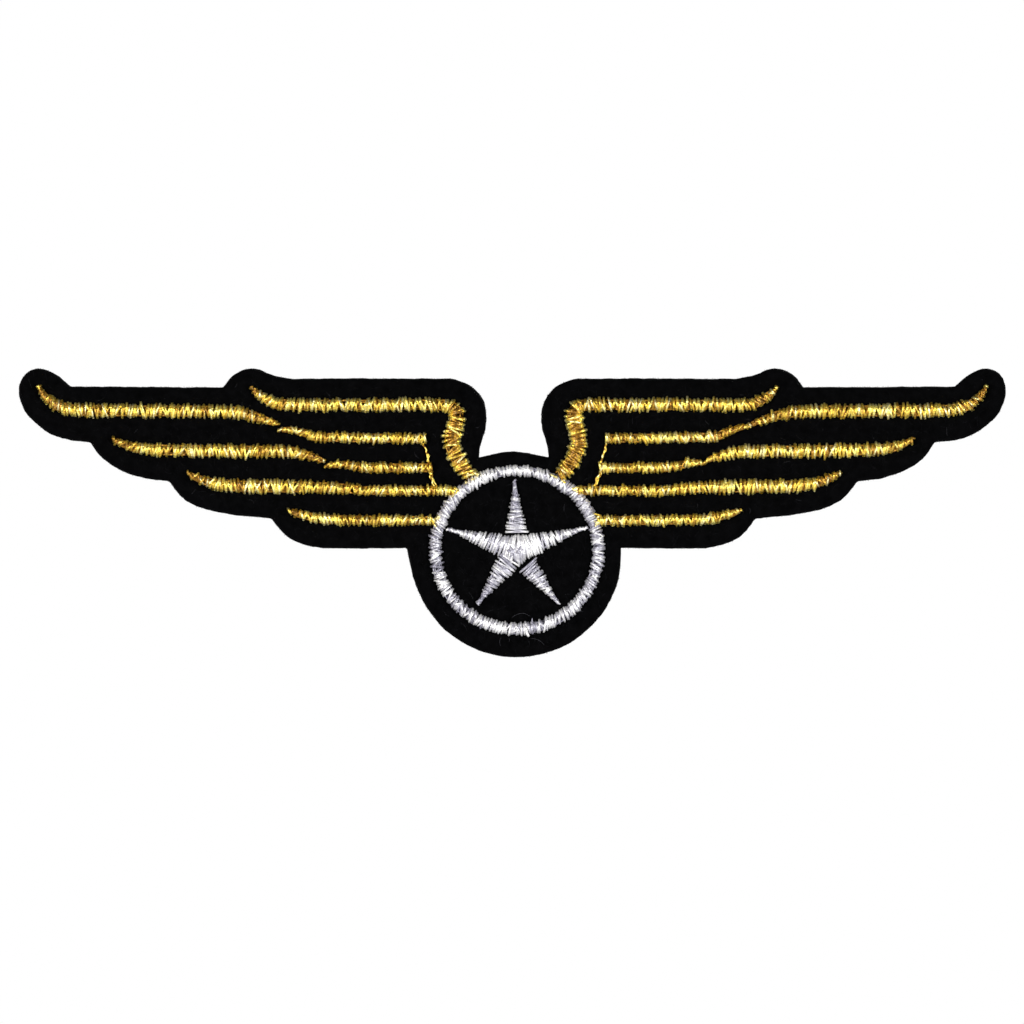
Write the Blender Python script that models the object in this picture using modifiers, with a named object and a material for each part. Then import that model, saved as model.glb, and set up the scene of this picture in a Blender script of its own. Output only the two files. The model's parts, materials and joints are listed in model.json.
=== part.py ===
"""Embroidered pilot wings badge: satin wings and a star in a ring on black felt, with a bar pin behind.

The badge stands upright as it is worn. X runs along the wingspan, Z is up and the face looks along -Y.
The origin is the centre of the ring, on the rear face of the backing felt.
"""

import math

import bmesh
import bpy
from mathutils import Vector

MM = 0.001

# Layers, from the rear face at y = 0 towards the front.
LAYER_GAP = 0.05 * MM
BACKING_THICKNESS = 0.8 * MM
STABILISER_THICKNESS = 0.3 * MM
FELT_THICKNESS = 1.2 * MM
STABILISER_INSET = 0.8 * MM
STABILISER_FRONT = -BACKING_THICKNESS - LAYER_GAP - STABILISER_THICKNESS
FELT_REAR = STABILISER_FRONT - LAYER_GAP
FELT_FRONT = FELT_REAR - FELT_THICKNESS
STITCH_REAR = FELT_FRONT - LAYER_GAP
BACK_FACET_TOP = 4.5 * MM

# Disc behind the ring, the ring and the star.
DISC_RADIUS = 12.38 * MM
DISC_DROP = 0.15 * MM
DISC_START_DEG = -3.0
DISC_STEPS = 7
RING_RADIUS = 9.46 * MM
RING_WIDTH = 1.4 * MM
STAR_RADIUS = 8.2 * MM
STAR_INNER_RADIUS = 2.45 * MM
STAR_POINTS = 5
STAR_HEIGHT = 0.6 * MM
STITCH_SEAM = 0.12 * MM

# Satin bands: a D-shaped section, as high as this share of its half width.
BAND_ROUNDNESS = 0.72
BAND_SECTION_STEPS = 8
RING_SEGMENTS = 64

# Bar pin sewn on behind the wings.
BAR_LENGTH = 38.0 * MM
BAR_WIDTH = 5.0 * MM
BAR_THICKNESS = 0.6 * MM
BAR_HEIGHT = 8.0 * MM
BAR_REAR = LAYER_GAP + BAR_THICKNESS
BAR_HOLES_X = (-8.0 * MM, 0.0, 8.0 * MM)
BAR_HOLE_RADIUS = 0.9 * MM
NEEDLE_RADIUS = 0.4 * MM
NEEDLE_STANDOFF = 3.3 * MM
NEEDLE_POINT_LENGTH = 2.5 * MM
NEEDLE_END_X = 17.6 * MM
HINGE_X = -16.5 * MM
EYE_RADIUS = 1.15 * MM
EYE_WIDTH = 1.4 * MM
EAR_THICKNESS = 0.5 * MM
EAR_GAP = 0.1 * MM
RIVET_RADIUS = 0.5 * MM
RIVET_HEAD_RADIUS = 0.95 * MM
RIVET_HEAD_HEIGHT = 0.35 * MM
RUNNING_GAP = 0.08 * MM
CATCH_X = 14.0 * MM
CATCH_LENGTH = 2.6 * MM
CATCH_OUTER_RADIUS = 2.0 * MM
CATCH_WALL = 0.45 * MM
BARREL_WALL = 0.7 * MM
BARREL_FLANGE = 0.4 * MM
SLOT_WIDTH = 1.1 * MM
THUMB_TAB = (0.4 * MM, 2.4 * MM, 1.2 * MM)

# Sewing thread and single embroidery threads.
TACK_RADIUS = 0.2 * MM
THREAD_RADIUS = 0.12 * MM

# Segments round a cylinder, and the angle above which an edge stays sharp.
FINE_SEGMENTS = 32
SEGMENTS = 24
STEM_SEGMENTS = 16
SHARP_DEG = 35.0
POINT_OVERLAP = 0.2 * MM
POINT_END_RADIUS = 0.02 * MM

# The wings lie a little left of the ring: the felt's outline and the bands by these amounts at the
# middle, and both by the last one at the tips.
OUTLINE_DRIFT = 0.28 * MM
BAND_DRIFT = 0.12 * MM
TIP_DRIFT = 0.45 * MM
TIP_REACH = 55.0 * MM

CORNER = "VECTOR"
ROUND = "AUTO"

# Right half of the felt outline in millimetres, from the collar over the shoulder and the wing tip,
# then inwards along the four feather ends to the disc.
FELT_OUTLINE = (
    (0.0, 11.5, ROUND),
    (4.1, 10.8, CORNER),
    (4.0, 11.9, ROUND),
    (3.2, 15.1, ROUND),
    (4.0, 18.2, ROUND),
    (6.8, 19.9, ROUND),
    (9.0, 20.0, ROUND),
    (25.9, 20.0, CORNER),
    (28.1, 20.4, ROUND),
    (30.4, 21.2, ROUND),
    (32.6, 20.5, ROUND),
    (33.9, 19.0, CORNER),
    (51.7, 19.1, CORNER),
    (53.6, 20.6, ROUND),
    (55.6, 21.2, ROUND),
    (57.3, 20.0, ROUND),
    (57.4, 17.2, ROUND),
    (55.6, 14.7, ROUND),
    (52.8, 13.1, ROUND),
    (49.3, 12.6, CORNER),
    (47.9, 10.7, ROUND),
    (44.6, 8.8, ROUND),
    (40.2, 8.0, CORNER),
    (38.3, 5.8, ROUND),
    (34.4, 4.4, ROUND),
    (28.3, 3.7, CORNER),
    (26.5, 1.6, ROUND),
    (23.4, 0.35, ROUND),
    (20.5, 0.2, ROUND),
    (12.5, 0.25, CORNER),
)

# Spines of the satin bands on the right wing in millimetres: along, up and the band's width there.
WING_BANDS = {
    "shoulder_band": (
        (30.7, 19.0, 0.35),
        (29.9, 18.2, 0.95),
        (28.6, 17.45, 1.35),
        (26.8, 17.0, 1.5),
        (17.5, 16.95, 1.5),
        (9.2, 16.95, 1.65),
        (7.6, 16.75, 1.8),
        (6.85, 16.0, 2.0),
        (6.95, 14.8, 2.1),
        (7.35, 13.5, 2.1),
        (7.4, 12.3, 2.1),
        (6.95, 11.0, 2.0),
        (6.2, 9.85, 1.95),
        (5.5, 9.0, 1.85),
    ),
    "first_primary_outer": (
        (55.4, 19.15, 0.35),
        (54.6, 18.0, 0.85),
        (53.4, 17.0, 1.3),
        (51.6, 16.45, 1.5),
        (49.0, 16.3, 1.6),
        (35.0, 16.2, 1.6),
        (32.2, 16.05, 1.5),
        (30.6, 15.7, 1.25),
        (29.0, 15.15, 1.0),
        (27.4, 14.6, 0.4),
    ),
    "first_primary_inner": (
        (27.6, 14.0, 0.35),
        (26.4, 14.05, 0.7),
        (25.2, 13.85, 0.95),
        (24.0, 13.5, 1.05),
        (22.6, 13.2, 1.2),
        (10.4, 13.0, 1.2),
    ),
    "second_primary_outer": (
        (46.8, 13.1, 0.35),
        (46.1, 12.65, 0.7),
        (45.0, 12.2, 1.1),
        (43.6, 11.85, 1.35),
        (40.9, 11.7, 1.5),
        (36.0, 11.6, 1.6),
        (26.9, 11.5, 1.5),
        (25.0, 11.25, 1.3),
        (23.7, 10.9, 1.0),
        (22.2, 10.4, 0.4),
    ),
    "second_primary_inner": (
        (22.3, 9.75, 0.35),
        (21.4, 9.9, 0.7),
        (20.3, 10.0, 0.95),
        (19.0, 9.85, 1.05),
        (17.5, 9.65, 1.2),
        (9.7, 9.6, 1.2),
    ),
    "third_primary": (
        (38.2, 9.05, 0.35),
        (37.1, 8.45, 0.85),
        (35.8, 8.0, 1.2),
        (34.4, 7.65, 1.45),
        (32.0, 7.45, 1.6),
        (28.0, 7.4, 1.7),
        (23.4, 7.35, 1.5),
        (19.8, 7.2, 1.35),
        (16.9, 6.95, 1.2),
        (8.3, 6.9, 1.15),
    ),
    "fourth_primary": (
        (26.5, 4.7, 0.4),
        (25.3, 4.25, 0.95),
        (23.9, 3.9, 1.15),
        (22.4, 3.6, 1.25),
        (17.5, 3.5, 1.3),
        (10.3, 3.45, 1.2),
    ),
}

# Single threads that jump from one band to the next near the ring: two ends each, in millimetres.
JUMP_THREADS = (
    ((10.5, 12.2), (10.1, 10.45)),
    ((9.7, 8.8), (9.3, 7.7)),
)

COLOURS = {
    "black_felt": ((0.008, 0.008, 0.009), 0.95, 0.0),
    "stabiliser_cloth": ((0.75, 0.73, 0.68), 0.9, 0.0),
    "gold_thread": ((0.68, 0.4, 0.03), 0.35, 0.7),
    "silver_thread": ((0.78, 0.78, 0.82), 0.4, 0.3),
    "nickel_steel": ((0.62, 0.6, 0.56), 0.28, 1.0),
    "sewing_thread": ((0.015, 0.015, 0.017), 0.8, 0.0),
}


def clear_scene():
    for thing in list(bpy.data.objects):
        bpy.data.objects.remove(thing, do_unlink=True)


def make_materials():
    for name, (colour, roughness, metallic) in COLOURS.items():
        made = bpy.data.materials.new(name)
        made.use_nodes = True
        shader = made.node_tree.nodes["Principled BSDF"]
        shader.inputs["Base Color"].default_value = (*colour, 1.0)
        shader.inputs["Roughness"].default_value = roughness
        shader.inputs["Metallic"].default_value = metallic


def new_collection(name):
    made = bpy.data.collections.new(name)
    bpy.context.scene.collection.children.link(made)
    return made


def place(obj, collection, material=None, location=(0.0, 0.0, 0.0), upright=False):
    """Put an object in its collection. An upright one was drawn flat and is turned to face -Y."""
    for holder in list(obj.users_collection):
        holder.objects.unlink(obj)
    collection.objects.link(obj)
    obj.location = location
    if upright:
        obj.rotation_euler = (math.radians(90.0), 0.0, 0.0)
    if material:
        obj.data.materials.clear()
        obj.data.materials.append(bpy.data.materials[material])
    return obj


def drift(x, at_middle):
    """Where a point of the wings drawn at x really lies: shifted to the left, most at the tips."""
    return x - at_middle - (TIP_DRIFT - at_middle) * (x / TIP_REACH) ** 2


def full_outline():
    """The whole felt outline, clockwise from the collar: right wing, disc and left wing."""
    wing = [(x * MM, z * MM, kind) for x, z, kind in FELT_OUTLINE]
    right = [(drift(x, OUTLINE_DRIFT), z, kind) for x, z, kind in wing]
    left = [(drift(-x, OUTLINE_DRIFT), z, kind) for x, z, kind in reversed(wing[1:])]
    disc = []
    for step in range(1, 2 * DISC_STEPS):
        angle = math.radians(DISC_START_DEG + (-90.0 - DISC_START_DEG) * step / DISC_STEPS)
        disc.append((DISC_RADIUS * math.cos(angle), DISC_RADIUS * math.sin(angle) - DISC_DROP, ROUND))
    return [*right, *disc, *left]


def flat_sheet(name, outline, rear_y, thickness, material, collection, inset=0.0):
    """A sheet cut to a smooth outline, with its rear face at rear_y."""
    data = bpy.data.curves.new(name, "CURVE")
    data.dimensions = "2D"
    data.fill_mode = "BOTH"
    data.extrude = thickness / 2
    data.offset = -inset
    data.resolution_u = 3
    spline = data.splines.new("BEZIER")
    spline.bezier_points.add(len(outline) - 1)
    spline.use_cyclic_u = True
    for point, (x, z, kind) in zip(spline.bezier_points, outline):
        point.co = (x, z, 0.0)
        point.handle_left_type = kind
        point.handle_right_type = kind
    obj = bpy.data.objects.new(name, data)
    return place(obj, collection, material, (0.0, rear_y - thickness / 2, 0.0), upright=True)


def as_mesh(obj, collection):
    """Replace a curve object by the mesh that it evaluates to, with its caps welded and facing outwards."""
    bpy.context.view_layer.update()
    evaluated = obj.evaluated_get(bpy.context.evaluated_depsgraph_get())
    mesh = bpy.data.meshes.new_from_object(evaluated)
    work = bmesh.new()
    work.from_mesh(mesh)
    bmesh.ops.remove_doubles(work, verts=work.verts, dist=0.001 * MM)
    bmesh.ops.recalc_face_normals(work, faces=work.faces)
    work.to_mesh(mesh)
    work.free()
    name = obj.name
    matrix = obj.matrix_world.copy()
    curve = obj.data
    bpy.data.objects.remove(obj, do_unlink=True)
    bpy.data.curves.remove(curve)
    made = bpy.data.objects.new(name, mesh)
    collection.objects.link(made)
    made.matrix_world = matrix
    return made


def split_at_height(obj, height):
    """Cut a mesh's faces along a level line, so that the flat below the bar pin is a facet of its own."""
    work = bmesh.new()
    work.from_mesh(obj.data)
    local = obj.matrix_world.inverted()
    point = local @ Vector((0.0, 0.0, height))
    normal = local.to_3x3() @ Vector((0.0, 0.0, 1.0))
    geometry = [*work.verts, *work.edges, *work.faces]
    bmesh.ops.bisect_plane(work, geom=geometry, plane_co=point, plane_no=normal, dist=0.001 * MM)
    bmesh.ops.triangulate(work, faces=work.faces)
    work.to_mesh(obj.data)
    work.free()


def make_layers(parts):
    outline = full_outline()
    backing = flat_sheet("backing_felt", outline, 0.0, BACKING_THICKNESS, "black_felt", parts)
    split_at_height(as_mesh(backing, parts), BACK_FACET_TOP)
    flat_sheet("front_felt", outline, FELT_REAR, FELT_THICKNESS, "black_felt", parts)
    rear = STABILISER_FRONT + STABILISER_THICKNESS
    cloth = "stabiliser_cloth"
    flat_sheet("stabiliser", outline, rear, STABILISER_THICKNESS, cloth, parts, STABILISER_INSET)


def band_section(guides):
    """The D-shaped section that every satin band is swept with, one metre in half width."""
    data = bpy.data.curves.new("band_section", "CURVE")
    data.dimensions = "2D"
    data.fill_mode = "NONE"
    spline = data.splines.new("POLY")
    spline.points.add(BAND_SECTION_STEPS)
    spline.use_cyclic_u = True
    for step, point in enumerate(spline.points):
        angle = math.pi * step / BAND_SECTION_STEPS
        point.co = (math.cos(angle), BAND_ROUNDNESS * math.sin(angle), 0.0, 1.0)
    obj = bpy.data.objects.new("band_section", data)
    obj.hide_render = True
    obj.display_type = "WIRE"
    guides.objects.link(obj)
    return obj


def satin_band(name, spine, side, section, parts):
    """A raised band of satin stitch along its spine, on the right (1) or the left (-1) wing."""
    data = bpy.data.curves.new(name, "CURVE")
    data.dimensions = "3D"
    data.twist_mode = "Z_UP"
    data.resolution_u = 2
    data.bevel_mode = "OBJECT"
    data.bevel_object = section
    data.use_fill_caps = True
    spline = data.splines.new("BEZIER")
    spline.bezier_points.add(len(spine) - 1)
    for point, (x, z, width) in zip(spline.bezier_points, spine):
        point.co = (drift(side * x * MM, BAND_DRIFT), z * MM, 0.0)
        point.handle_left_type = ROUND
        point.handle_right_type = ROUND
        point.radius = width * MM / 2
    obj = bpy.data.objects.new(name, data)
    place(obj, parts, "gold_thread", (0.0, STITCH_REAR, 0.0), upright=True)
    as_mesh(obj, parts)


def thread(name, points, radius, material, parts):
    """A round thread through points given in space."""
    data = bpy.data.curves.new(name, "CURVE")
    data.dimensions = "3D"
    data.bevel_depth = radius
    data.bevel_resolution = 2
    data.use_fill_caps = True
    spline = data.splines.new("POLY")
    spline.points.add(len(points) - 1)
    for point, place_at in zip(spline.points, points):
        point.co = (*place_at, 1.0)
    obj = bpy.data.objects.new(name, data)
    return place(obj, parts, material)


def make_wings(parts, guides):
    section = band_section(guides)
    for side_name, side in (("right", 1), ("left", -1)):
        for band_name, spine in WING_BANDS.items():
            satin_band(f"{side_name}_{band_name}", spine, side, section, parts)
        for number, ends in enumerate(JUMP_THREADS, start=1):
            level = STITCH_REAR - THREAD_RADIUS
            points = [(drift(side * x * MM, BAND_DRIFT), level, z * MM) for x, z in ends]
            thread(f"{side_name}_jump_thread_{number}", points, THREAD_RADIUS, "gold_thread", parts)


def make_ring(parts):
    """The stitched ring: half of its D-shaped section, turned about the axis of the disc."""
    half = RING_WIDTH / 2
    mesh = bpy.data.meshes.new("ring")
    work = bmesh.new()
    corners = []
    for step in range(BAND_SECTION_STEPS + 1):
        angle = math.pi * step / BAND_SECTION_STEPS
        across = RING_RADIUS + half * math.cos(angle)
        corners.append(work.verts.new((across, 0.0, BAND_ROUNDNESS * half * math.sin(angle))))
    for first, second in zip(corners, [*corners[1:], corners[0]]):
        work.edges.new((first, second))
    work.to_mesh(mesh)
    work.free()
    obj = bpy.data.objects.new("ring", mesh)
    place(obj, parts, "silver_thread", (0.0, STITCH_REAR, 0.0), upright=True)
    screw = obj.modifiers.new("turn", "SCREW")
    screw.axis = "Z"
    screw.steps = RING_SEGMENTS
    screw.render_steps = RING_SEGMENTS
    screw.use_merge_vertices = True
    screw.merge_threshold = 0.0001 * MM
    screw.use_normal_flip = True


def flat_shape(name, corners, height, material, parts):
    """A straight-sided outline, raised from the felt."""
    data = bpy.data.curves.new(name, "CURVE")
    data.dimensions = "2D"
    data.fill_mode = "BOTH"
    data.extrude = height / 2
    spline = data.splines.new("POLY")
    spline.points.add(len(corners) - 1)
    spline.use_cyclic_u = True
    for point, corner in zip(spline.points, corners):
        point.co = (corner.x, corner.y, 0.0, 1.0)
    obj = bpy.data.objects.new(name, data)
    return place(obj, parts, material, (0.0, STITCH_REAR - height / 2, 0.0), upright=True)


def polar(radius, angle):
    return Vector((radius * math.cos(angle), radius * math.sin(angle)))


def make_star(parts):
    """Five stitched points round a five-sided centre, each its own patch of satin."""
    half_turn = math.pi / STAR_POINTS
    top = math.pi / 2
    names = ("top", "left", "lower_left", "lower_right", "right")
    core = []
    for number, name in enumerate(names):
        angle = top + 2 * half_turn * number
        outwards = polar(1.0, angle)
        shift = outwards * STITCH_SEAM
        corners = [
            polar(STAR_RADIUS, angle),
            polar(STAR_INNER_RADIUS, angle + half_turn) + shift,
            polar(STAR_INNER_RADIUS, angle - half_turn) + shift,
        ]
        flat_shape(f"star_{name}_point", corners, STAR_HEIGHT, "silver_thread", parts)
        core.append(polar(STAR_INNER_RADIUS - STITCH_SEAM, angle + half_turn))
    flat_shape("star_centre", core, STAR_HEIGHT, "silver_thread", parts)


def cylinder(name, radius, depth, centre, axis, segments=SEGMENTS):
    """A cylinder primitive with its axis along X, Y or Z."""
    bpy.ops.mesh.primitive_cylinder_add(vertices=segments, radius=radius, depth=depth)
    obj = bpy.context.object
    obj.name = name
    turn = {"X": (0.0, 90.0, 0.0), "Y": (90.0, 0.0, 0.0), "Z": (0.0, 0.0, 0.0)}[axis]
    obj.rotation_euler = [math.radians(angle) for angle in turn]
    obj.location = centre
    return obj


def box(name, size, centre):
    bpy.ops.mesh.primitive_cube_add(size=1.0)
    obj = bpy.context.object
    obj.name = name
    obj.scale = size
    obj.location = centre
    bpy.ops.object.transform_apply(location=False, rotation=False, scale=True)
    return obj


def join(obj, other, guides, operation):
    """Cut or add another solid with a Boolean; the tool object moves to the guides."""
    place(other, guides, None, other.location)
    other.hide_render = True
    other.display_type = "WIRE"
    modifier = obj.modifiers.new(f"{operation.lower()} {other.name}", "BOOLEAN")
    modifier.operation = operation
    modifier.solver = "EXACT"
    modifier.object = other


def finish_metal(obj, parts):
    place(obj, parts, "nickel_steel", obj.location)
    obj.data.shade_smooth()
    obj.data.set_sharp_from_angle(angle=math.radians(SHARP_DEG))


def make_bar(parts, guides):
    """The flat plate with its sewing holes, the U-shaped hinge bracket and the hinge rivet."""
    centre = (0.0, LAYER_GAP + BAR_THICKNESS / 2, BAR_HEIGHT)
    plate = box("pin_plate", (BAR_LENGTH, BAR_THICKNESS, BAR_WIDTH), centre)
    for number, x in enumerate(BAR_HOLES_X, start=1):
        hole_centre = (x, centre[1], BAR_HEIGHT)
        hole = cylinder(f"sewing_hole_{number}", BAR_HOLE_RADIUS, 3 * BAR_THICKNESS, hole_centre, "Y")
        join(plate, hole, guides, "DIFFERENCE")
    finish_metal(plate, parts)

    needle_y = BAR_REAR + NEEDLE_STANDOFF - NEEDLE_RADIUS
    floor_y = BAR_REAR + LAYER_GAP
    inner = EYE_WIDTH + 2 * EAR_GAP
    outer = inner + 2 * EAR_THICKNESS
    depth = needle_y + EYE_RADIUS - floor_y
    bracket_centre = (HINGE_X, floor_y + depth / 2, BAR_HEIGHT)
    bracket = box("hinge_bracket", (2 * EYE_RADIUS, depth, outer), bracket_centre)
    slot_centre = (HINGE_X, floor_y + EAR_THICKNESS + depth / 2, BAR_HEIGHT)
    slot = box("bracket_slot", (4 * EYE_RADIUS, depth, inner), slot_centre)
    join(bracket, slot, guides, "DIFFERENCE")
    bore_radius = RIVET_RADIUS + RUNNING_GAP
    hinge_centre = (HINGE_X, needle_y, BAR_HEIGHT)
    bore = cylinder("bracket_bore", bore_radius, 2 * outer, hinge_centre, "Z")
    join(bracket, bore, guides, "DIFFERENCE")
    finish_metal(bracket, parts)

    shank_length = outer + 2 * LAYER_GAP
    rivet = cylinder("hinge_rivet", RIVET_RADIUS, shank_length, hinge_centre, "Z")
    for sign, name in ((1, "rivet_top"), (-1, "rivet_bottom")):
        head_z = BAR_HEIGHT + sign * (shank_length / 2 + RIVET_HEAD_HEIGHT / 2 - LAYER_GAP / 2)
        head_height = RIVET_HEAD_HEIGHT + LAYER_GAP / 2
        head = cylinder(name, RIVET_HEAD_RADIUS, head_height, (HINGE_X, needle_y, head_z), "Z")
        join(rivet, head, guides, "UNION")
    finish_metal(rivet, parts)
    return needle_y


def make_needle(needle_y, parts, guides):
    """The pin's needle: an eye on the hinge axis, a straight stem and a sharp point."""
    hinge = Vector((HINGE_X, needle_y, BAR_HEIGHT))
    eye = cylinder("needle", EYE_RADIUS, EYE_WIDTH, hinge, "Z")
    stem_end = NEEDLE_END_X - NEEDLE_POINT_LENGTH
    stem_start = HINGE_X + RIVET_RADIUS + 2 * RUNNING_GAP
    stem_centre = ((stem_start + stem_end) / 2, needle_y, BAR_HEIGHT)
    stem = cylinder("needle_stem", NEEDLE_RADIUS, stem_end - stem_start, stem_centre, "X", STEM_SEGMENTS)
    join(eye, stem, guides, "UNION")
    bpy.ops.mesh.primitive_cone_add(
        vertices=STEM_SEGMENTS,
        radius1=NEEDLE_RADIUS,
        radius2=POINT_END_RADIUS,
        depth=NEEDLE_POINT_LENGTH + POINT_OVERLAP,
    )
    point = bpy.context.object
    point.name = "needle_point"
    point.rotation_euler = (0.0, math.radians(90.0), 0.0)
    point.location = (stem_end + (NEEDLE_POINT_LENGTH - POINT_OVERLAP) / 2, needle_y, BAR_HEIGHT)
    join(eye, point, guides, "UNION")
    bore_radius = RIVET_RADIUS + RUNNING_GAP
    bore = cylinder("needle_bore", bore_radius, 2 * EYE_WIDTH, hinge, "Z")
    join(eye, bore, guides, "DIFFERENCE")
    finish_metal(eye, parts)


def make_catch(needle_y, parts, guides):
    """The safety catch: a slotted housing on the plate and the slotted barrel that turns inside it."""
    centre = Vector((CATCH_X, needle_y, BAR_HEIGHT))
    housing = cylinder("catch_housing", CATCH_OUTER_RADIUS, CATCH_LENGTH, centre, "X", FINE_SEGMENTS)
    floor_y = BAR_REAR + LAYER_GAP
    foot_depth = needle_y - floor_y
    foot = box(
        "housing_foot",
        (CATCH_LENGTH, foot_depth, CATCH_OUTER_RADIUS),
        (CATCH_X, floor_y + foot_depth / 2, BAR_HEIGHT),
    )
    join(housing, foot, guides, "UNION")
    inside = CATCH_OUTER_RADIUS - CATCH_WALL
    bore = cylinder("housing_bore", inside, 2 * CATCH_LENGTH, centre, "X", FINE_SEGMENTS)
    join(housing, bore, guides, "DIFFERENCE")
    slot_depth = 2 * CATCH_OUTER_RADIUS
    slot_centre = centre + Vector((0.0, slot_depth / 2, 0.0))
    slot = box("housing_slot", (2 * CATCH_LENGTH, slot_depth, SLOT_WIDTH), slot_centre)
    join(housing, slot, guides, "DIFFERENCE")
    finish_metal(housing, parts)

    barrel_radius = inside - RUNNING_GAP
    flange_length = BARREL_FLANGE
    body_length = CATCH_LENGTH + 2 * RUNNING_GAP + 2 * flange_length
    barrel = cylinder("catch_barrel", barrel_radius, body_length, centre, "X", FINE_SEGMENTS)
    for sign, name in ((1, "outer"), (-1, "inner")):
        reach = sign * (CATCH_LENGTH / 2 + RUNNING_GAP + flange_length / 2)
        flange_centre = centre + Vector((reach, 0.0, 0.0))
        flange_name = f"{name}_flange"
        flange = cylinder(flange_name, CATCH_OUTER_RADIUS, flange_length, flange_centre, "X", FINE_SEGMENTS)
        join(barrel, flange, guides, "UNION")
    tab_length, tab_reach, tab_width = THUMB_TAB
    tab_x = CATCH_LENGTH / 2 + RUNNING_GAP + flange_length / 2
    tab_centre = centre + Vector((tab_x, 0.0, CATCH_OUTER_RADIUS + tab_reach / 2 - BARREL_WALL))
    tab = box("thumb_tab", (tab_length, tab_width, tab_reach), tab_centre)
    join(barrel, tab, guides, "UNION")
    core_radius = barrel_radius - BARREL_WALL
    core = cylinder("barrel_bore", core_radius, 2 * body_length, centre, "X")
    join(barrel, core, guides, "DIFFERENCE")
    mouth_centre = centre + Vector((0.0, slot_depth / 2, 0.0))
    mouth = box("barrel_slot", (2 * body_length, slot_depth, SLOT_WIDTH), mouth_centre)
    join(barrel, mouth, guides, "DIFFERENCE")
    finish_metal(barrel, parts)


def make_tacks(parts):
    """Loops of sewing thread from each hole of the plate over its edge into the backing felt."""
    number = 0
    low = LAYER_GAP + TACK_RADIUS
    high = BAR_REAR + LAYER_GAP + TACK_RADIUS
    for x in BAR_HOLES_X:
        for sign in (1, -1):
            number += 1
            inner = BAR_HEIGHT + sign * (BAR_HOLE_RADIUS - TACK_RADIUS - 2 * LAYER_GAP)
            outer = BAR_HEIGHT + sign * (BAR_WIDTH / 2 + TACK_RADIUS + 2 * LAYER_GAP)
            lean = TACK_RADIUS
            points = [(x, low, inner), (x, high, inner), (x + lean, high, outer), (x + lean, low, outer)]
            thread(f"sewing_tack_{number}", points, TACK_RADIUS, "sewing_thread", parts)


def main():
    clear_scene()
    make_materials()
    parts = new_collection("pilot_wings_badge")
    guides = new_collection("cutters_and_guides")
    make_layers(parts)
    make_wings(parts, guides)
    make_ring(parts)
    make_star(parts)
    needle_y = make_bar(parts, guides)
    make_needle(needle_y, parts, guides)
    make_catch(needle_y, parts, guides)
    make_tacks(parts)


main()
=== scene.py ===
import json
import math
import random

import bmesh
import bpy
import numpy as np
from mathutils import Matrix, Vector, geometry, kdtree, noise


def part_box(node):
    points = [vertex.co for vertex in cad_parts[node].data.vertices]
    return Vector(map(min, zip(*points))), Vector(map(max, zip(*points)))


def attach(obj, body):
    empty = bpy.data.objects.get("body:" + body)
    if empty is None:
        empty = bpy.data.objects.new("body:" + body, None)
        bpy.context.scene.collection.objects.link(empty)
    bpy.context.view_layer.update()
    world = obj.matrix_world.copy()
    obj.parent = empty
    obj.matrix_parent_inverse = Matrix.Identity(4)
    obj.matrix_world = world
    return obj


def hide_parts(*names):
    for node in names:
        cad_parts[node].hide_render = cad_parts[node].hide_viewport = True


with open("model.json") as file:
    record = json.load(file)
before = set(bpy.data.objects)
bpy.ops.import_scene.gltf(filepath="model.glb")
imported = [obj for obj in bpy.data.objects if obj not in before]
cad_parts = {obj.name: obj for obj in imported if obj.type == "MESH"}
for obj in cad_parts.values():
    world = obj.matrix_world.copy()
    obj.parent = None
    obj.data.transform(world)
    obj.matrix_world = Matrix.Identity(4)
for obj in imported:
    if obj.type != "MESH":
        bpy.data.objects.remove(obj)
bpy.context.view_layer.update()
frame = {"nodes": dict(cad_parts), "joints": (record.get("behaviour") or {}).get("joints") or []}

MM = 0.001

# Layers read from the frame. The face looks along -Y, so a layer's front is its lowest y.
felt_low, felt_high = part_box("front_felt")
backing_low, backing_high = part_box("backing_felt")
stabiliser_low, stabiliser_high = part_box("stabiliser")
FELT_FRONT = felt_low[1]
FELT_REAR = felt_high[1]
RING_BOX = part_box("ring")
RING_OUTER = RING_BOX[1][0]

# Stitching.
GOLD_RADIUS = 0.132 * MM
SILVER_RADIUS = 0.118 * MM
STITCH_PITCH = 0.43 * MM
BAND_ARCH = 0.42 * MM
THREAD_SIDES = 10
RING_THREAD_SIDES = 8
RING_SPACING = 0.085 * MM
PLY_LENGTH = 0.48 * MM
STITCH_SINK = 0.3 * MM
# The underlay's tone is painted shade, as dark as the gaps between the satin stitches.
UNDERLAY_SHADE_TONE = -0.12
LOOSE_STITCH_EVERY = 1.1 * MM
END_TUFT_STITCHES = 7
END_TUFT_REACH = 1.5 * MM
END_TUFT_LIMIT = RING_OUTER - 0.45 * MM
UNDERLAY_OFFSETS = (-0.34, -0.2, -0.07, 0.07, 0.2, 0.34)

# How satin wanders: noise per metre in slant and tone, the tones' spread and lowest value, the share of
# stray holes, the crowding from which stitches shorten, and how much closer they lie in a bend.
SLANT_NOISE = 260
TONE_NOISE = 420
TONE_SPREAD = 0.24
LOWEST_TONE = -0.15
STRAY_SHARE = 0.05
CROWDED = 0.35
BEND_PACKING = 0.9
MOST_BEND = 2.0

# A thread: the depth of the groove between its plies, its thickness at the ends, and the range of its twist.
PLY_GROOVE = 0.16
END_TAPER = 0.55
ANY_PHASE = 6.28
ARCH_FULLNESS = 0.45

# On the right wing the inner bands start higher, where they meet the outer ones.
# The left wing has a gap there.
JOIN_LIFT = 0.45 * MM
JOIN_LENGTH = 3.0 * MM

# The wings lie a little left of the ring, most at the tips.
BAND_DRIFT = 0.12 * MM
TIP_DRIFT = 0.45 * MM
TIP_REACH = 55.0 * MM
PATH_STEP = 0.05 * MM

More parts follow.
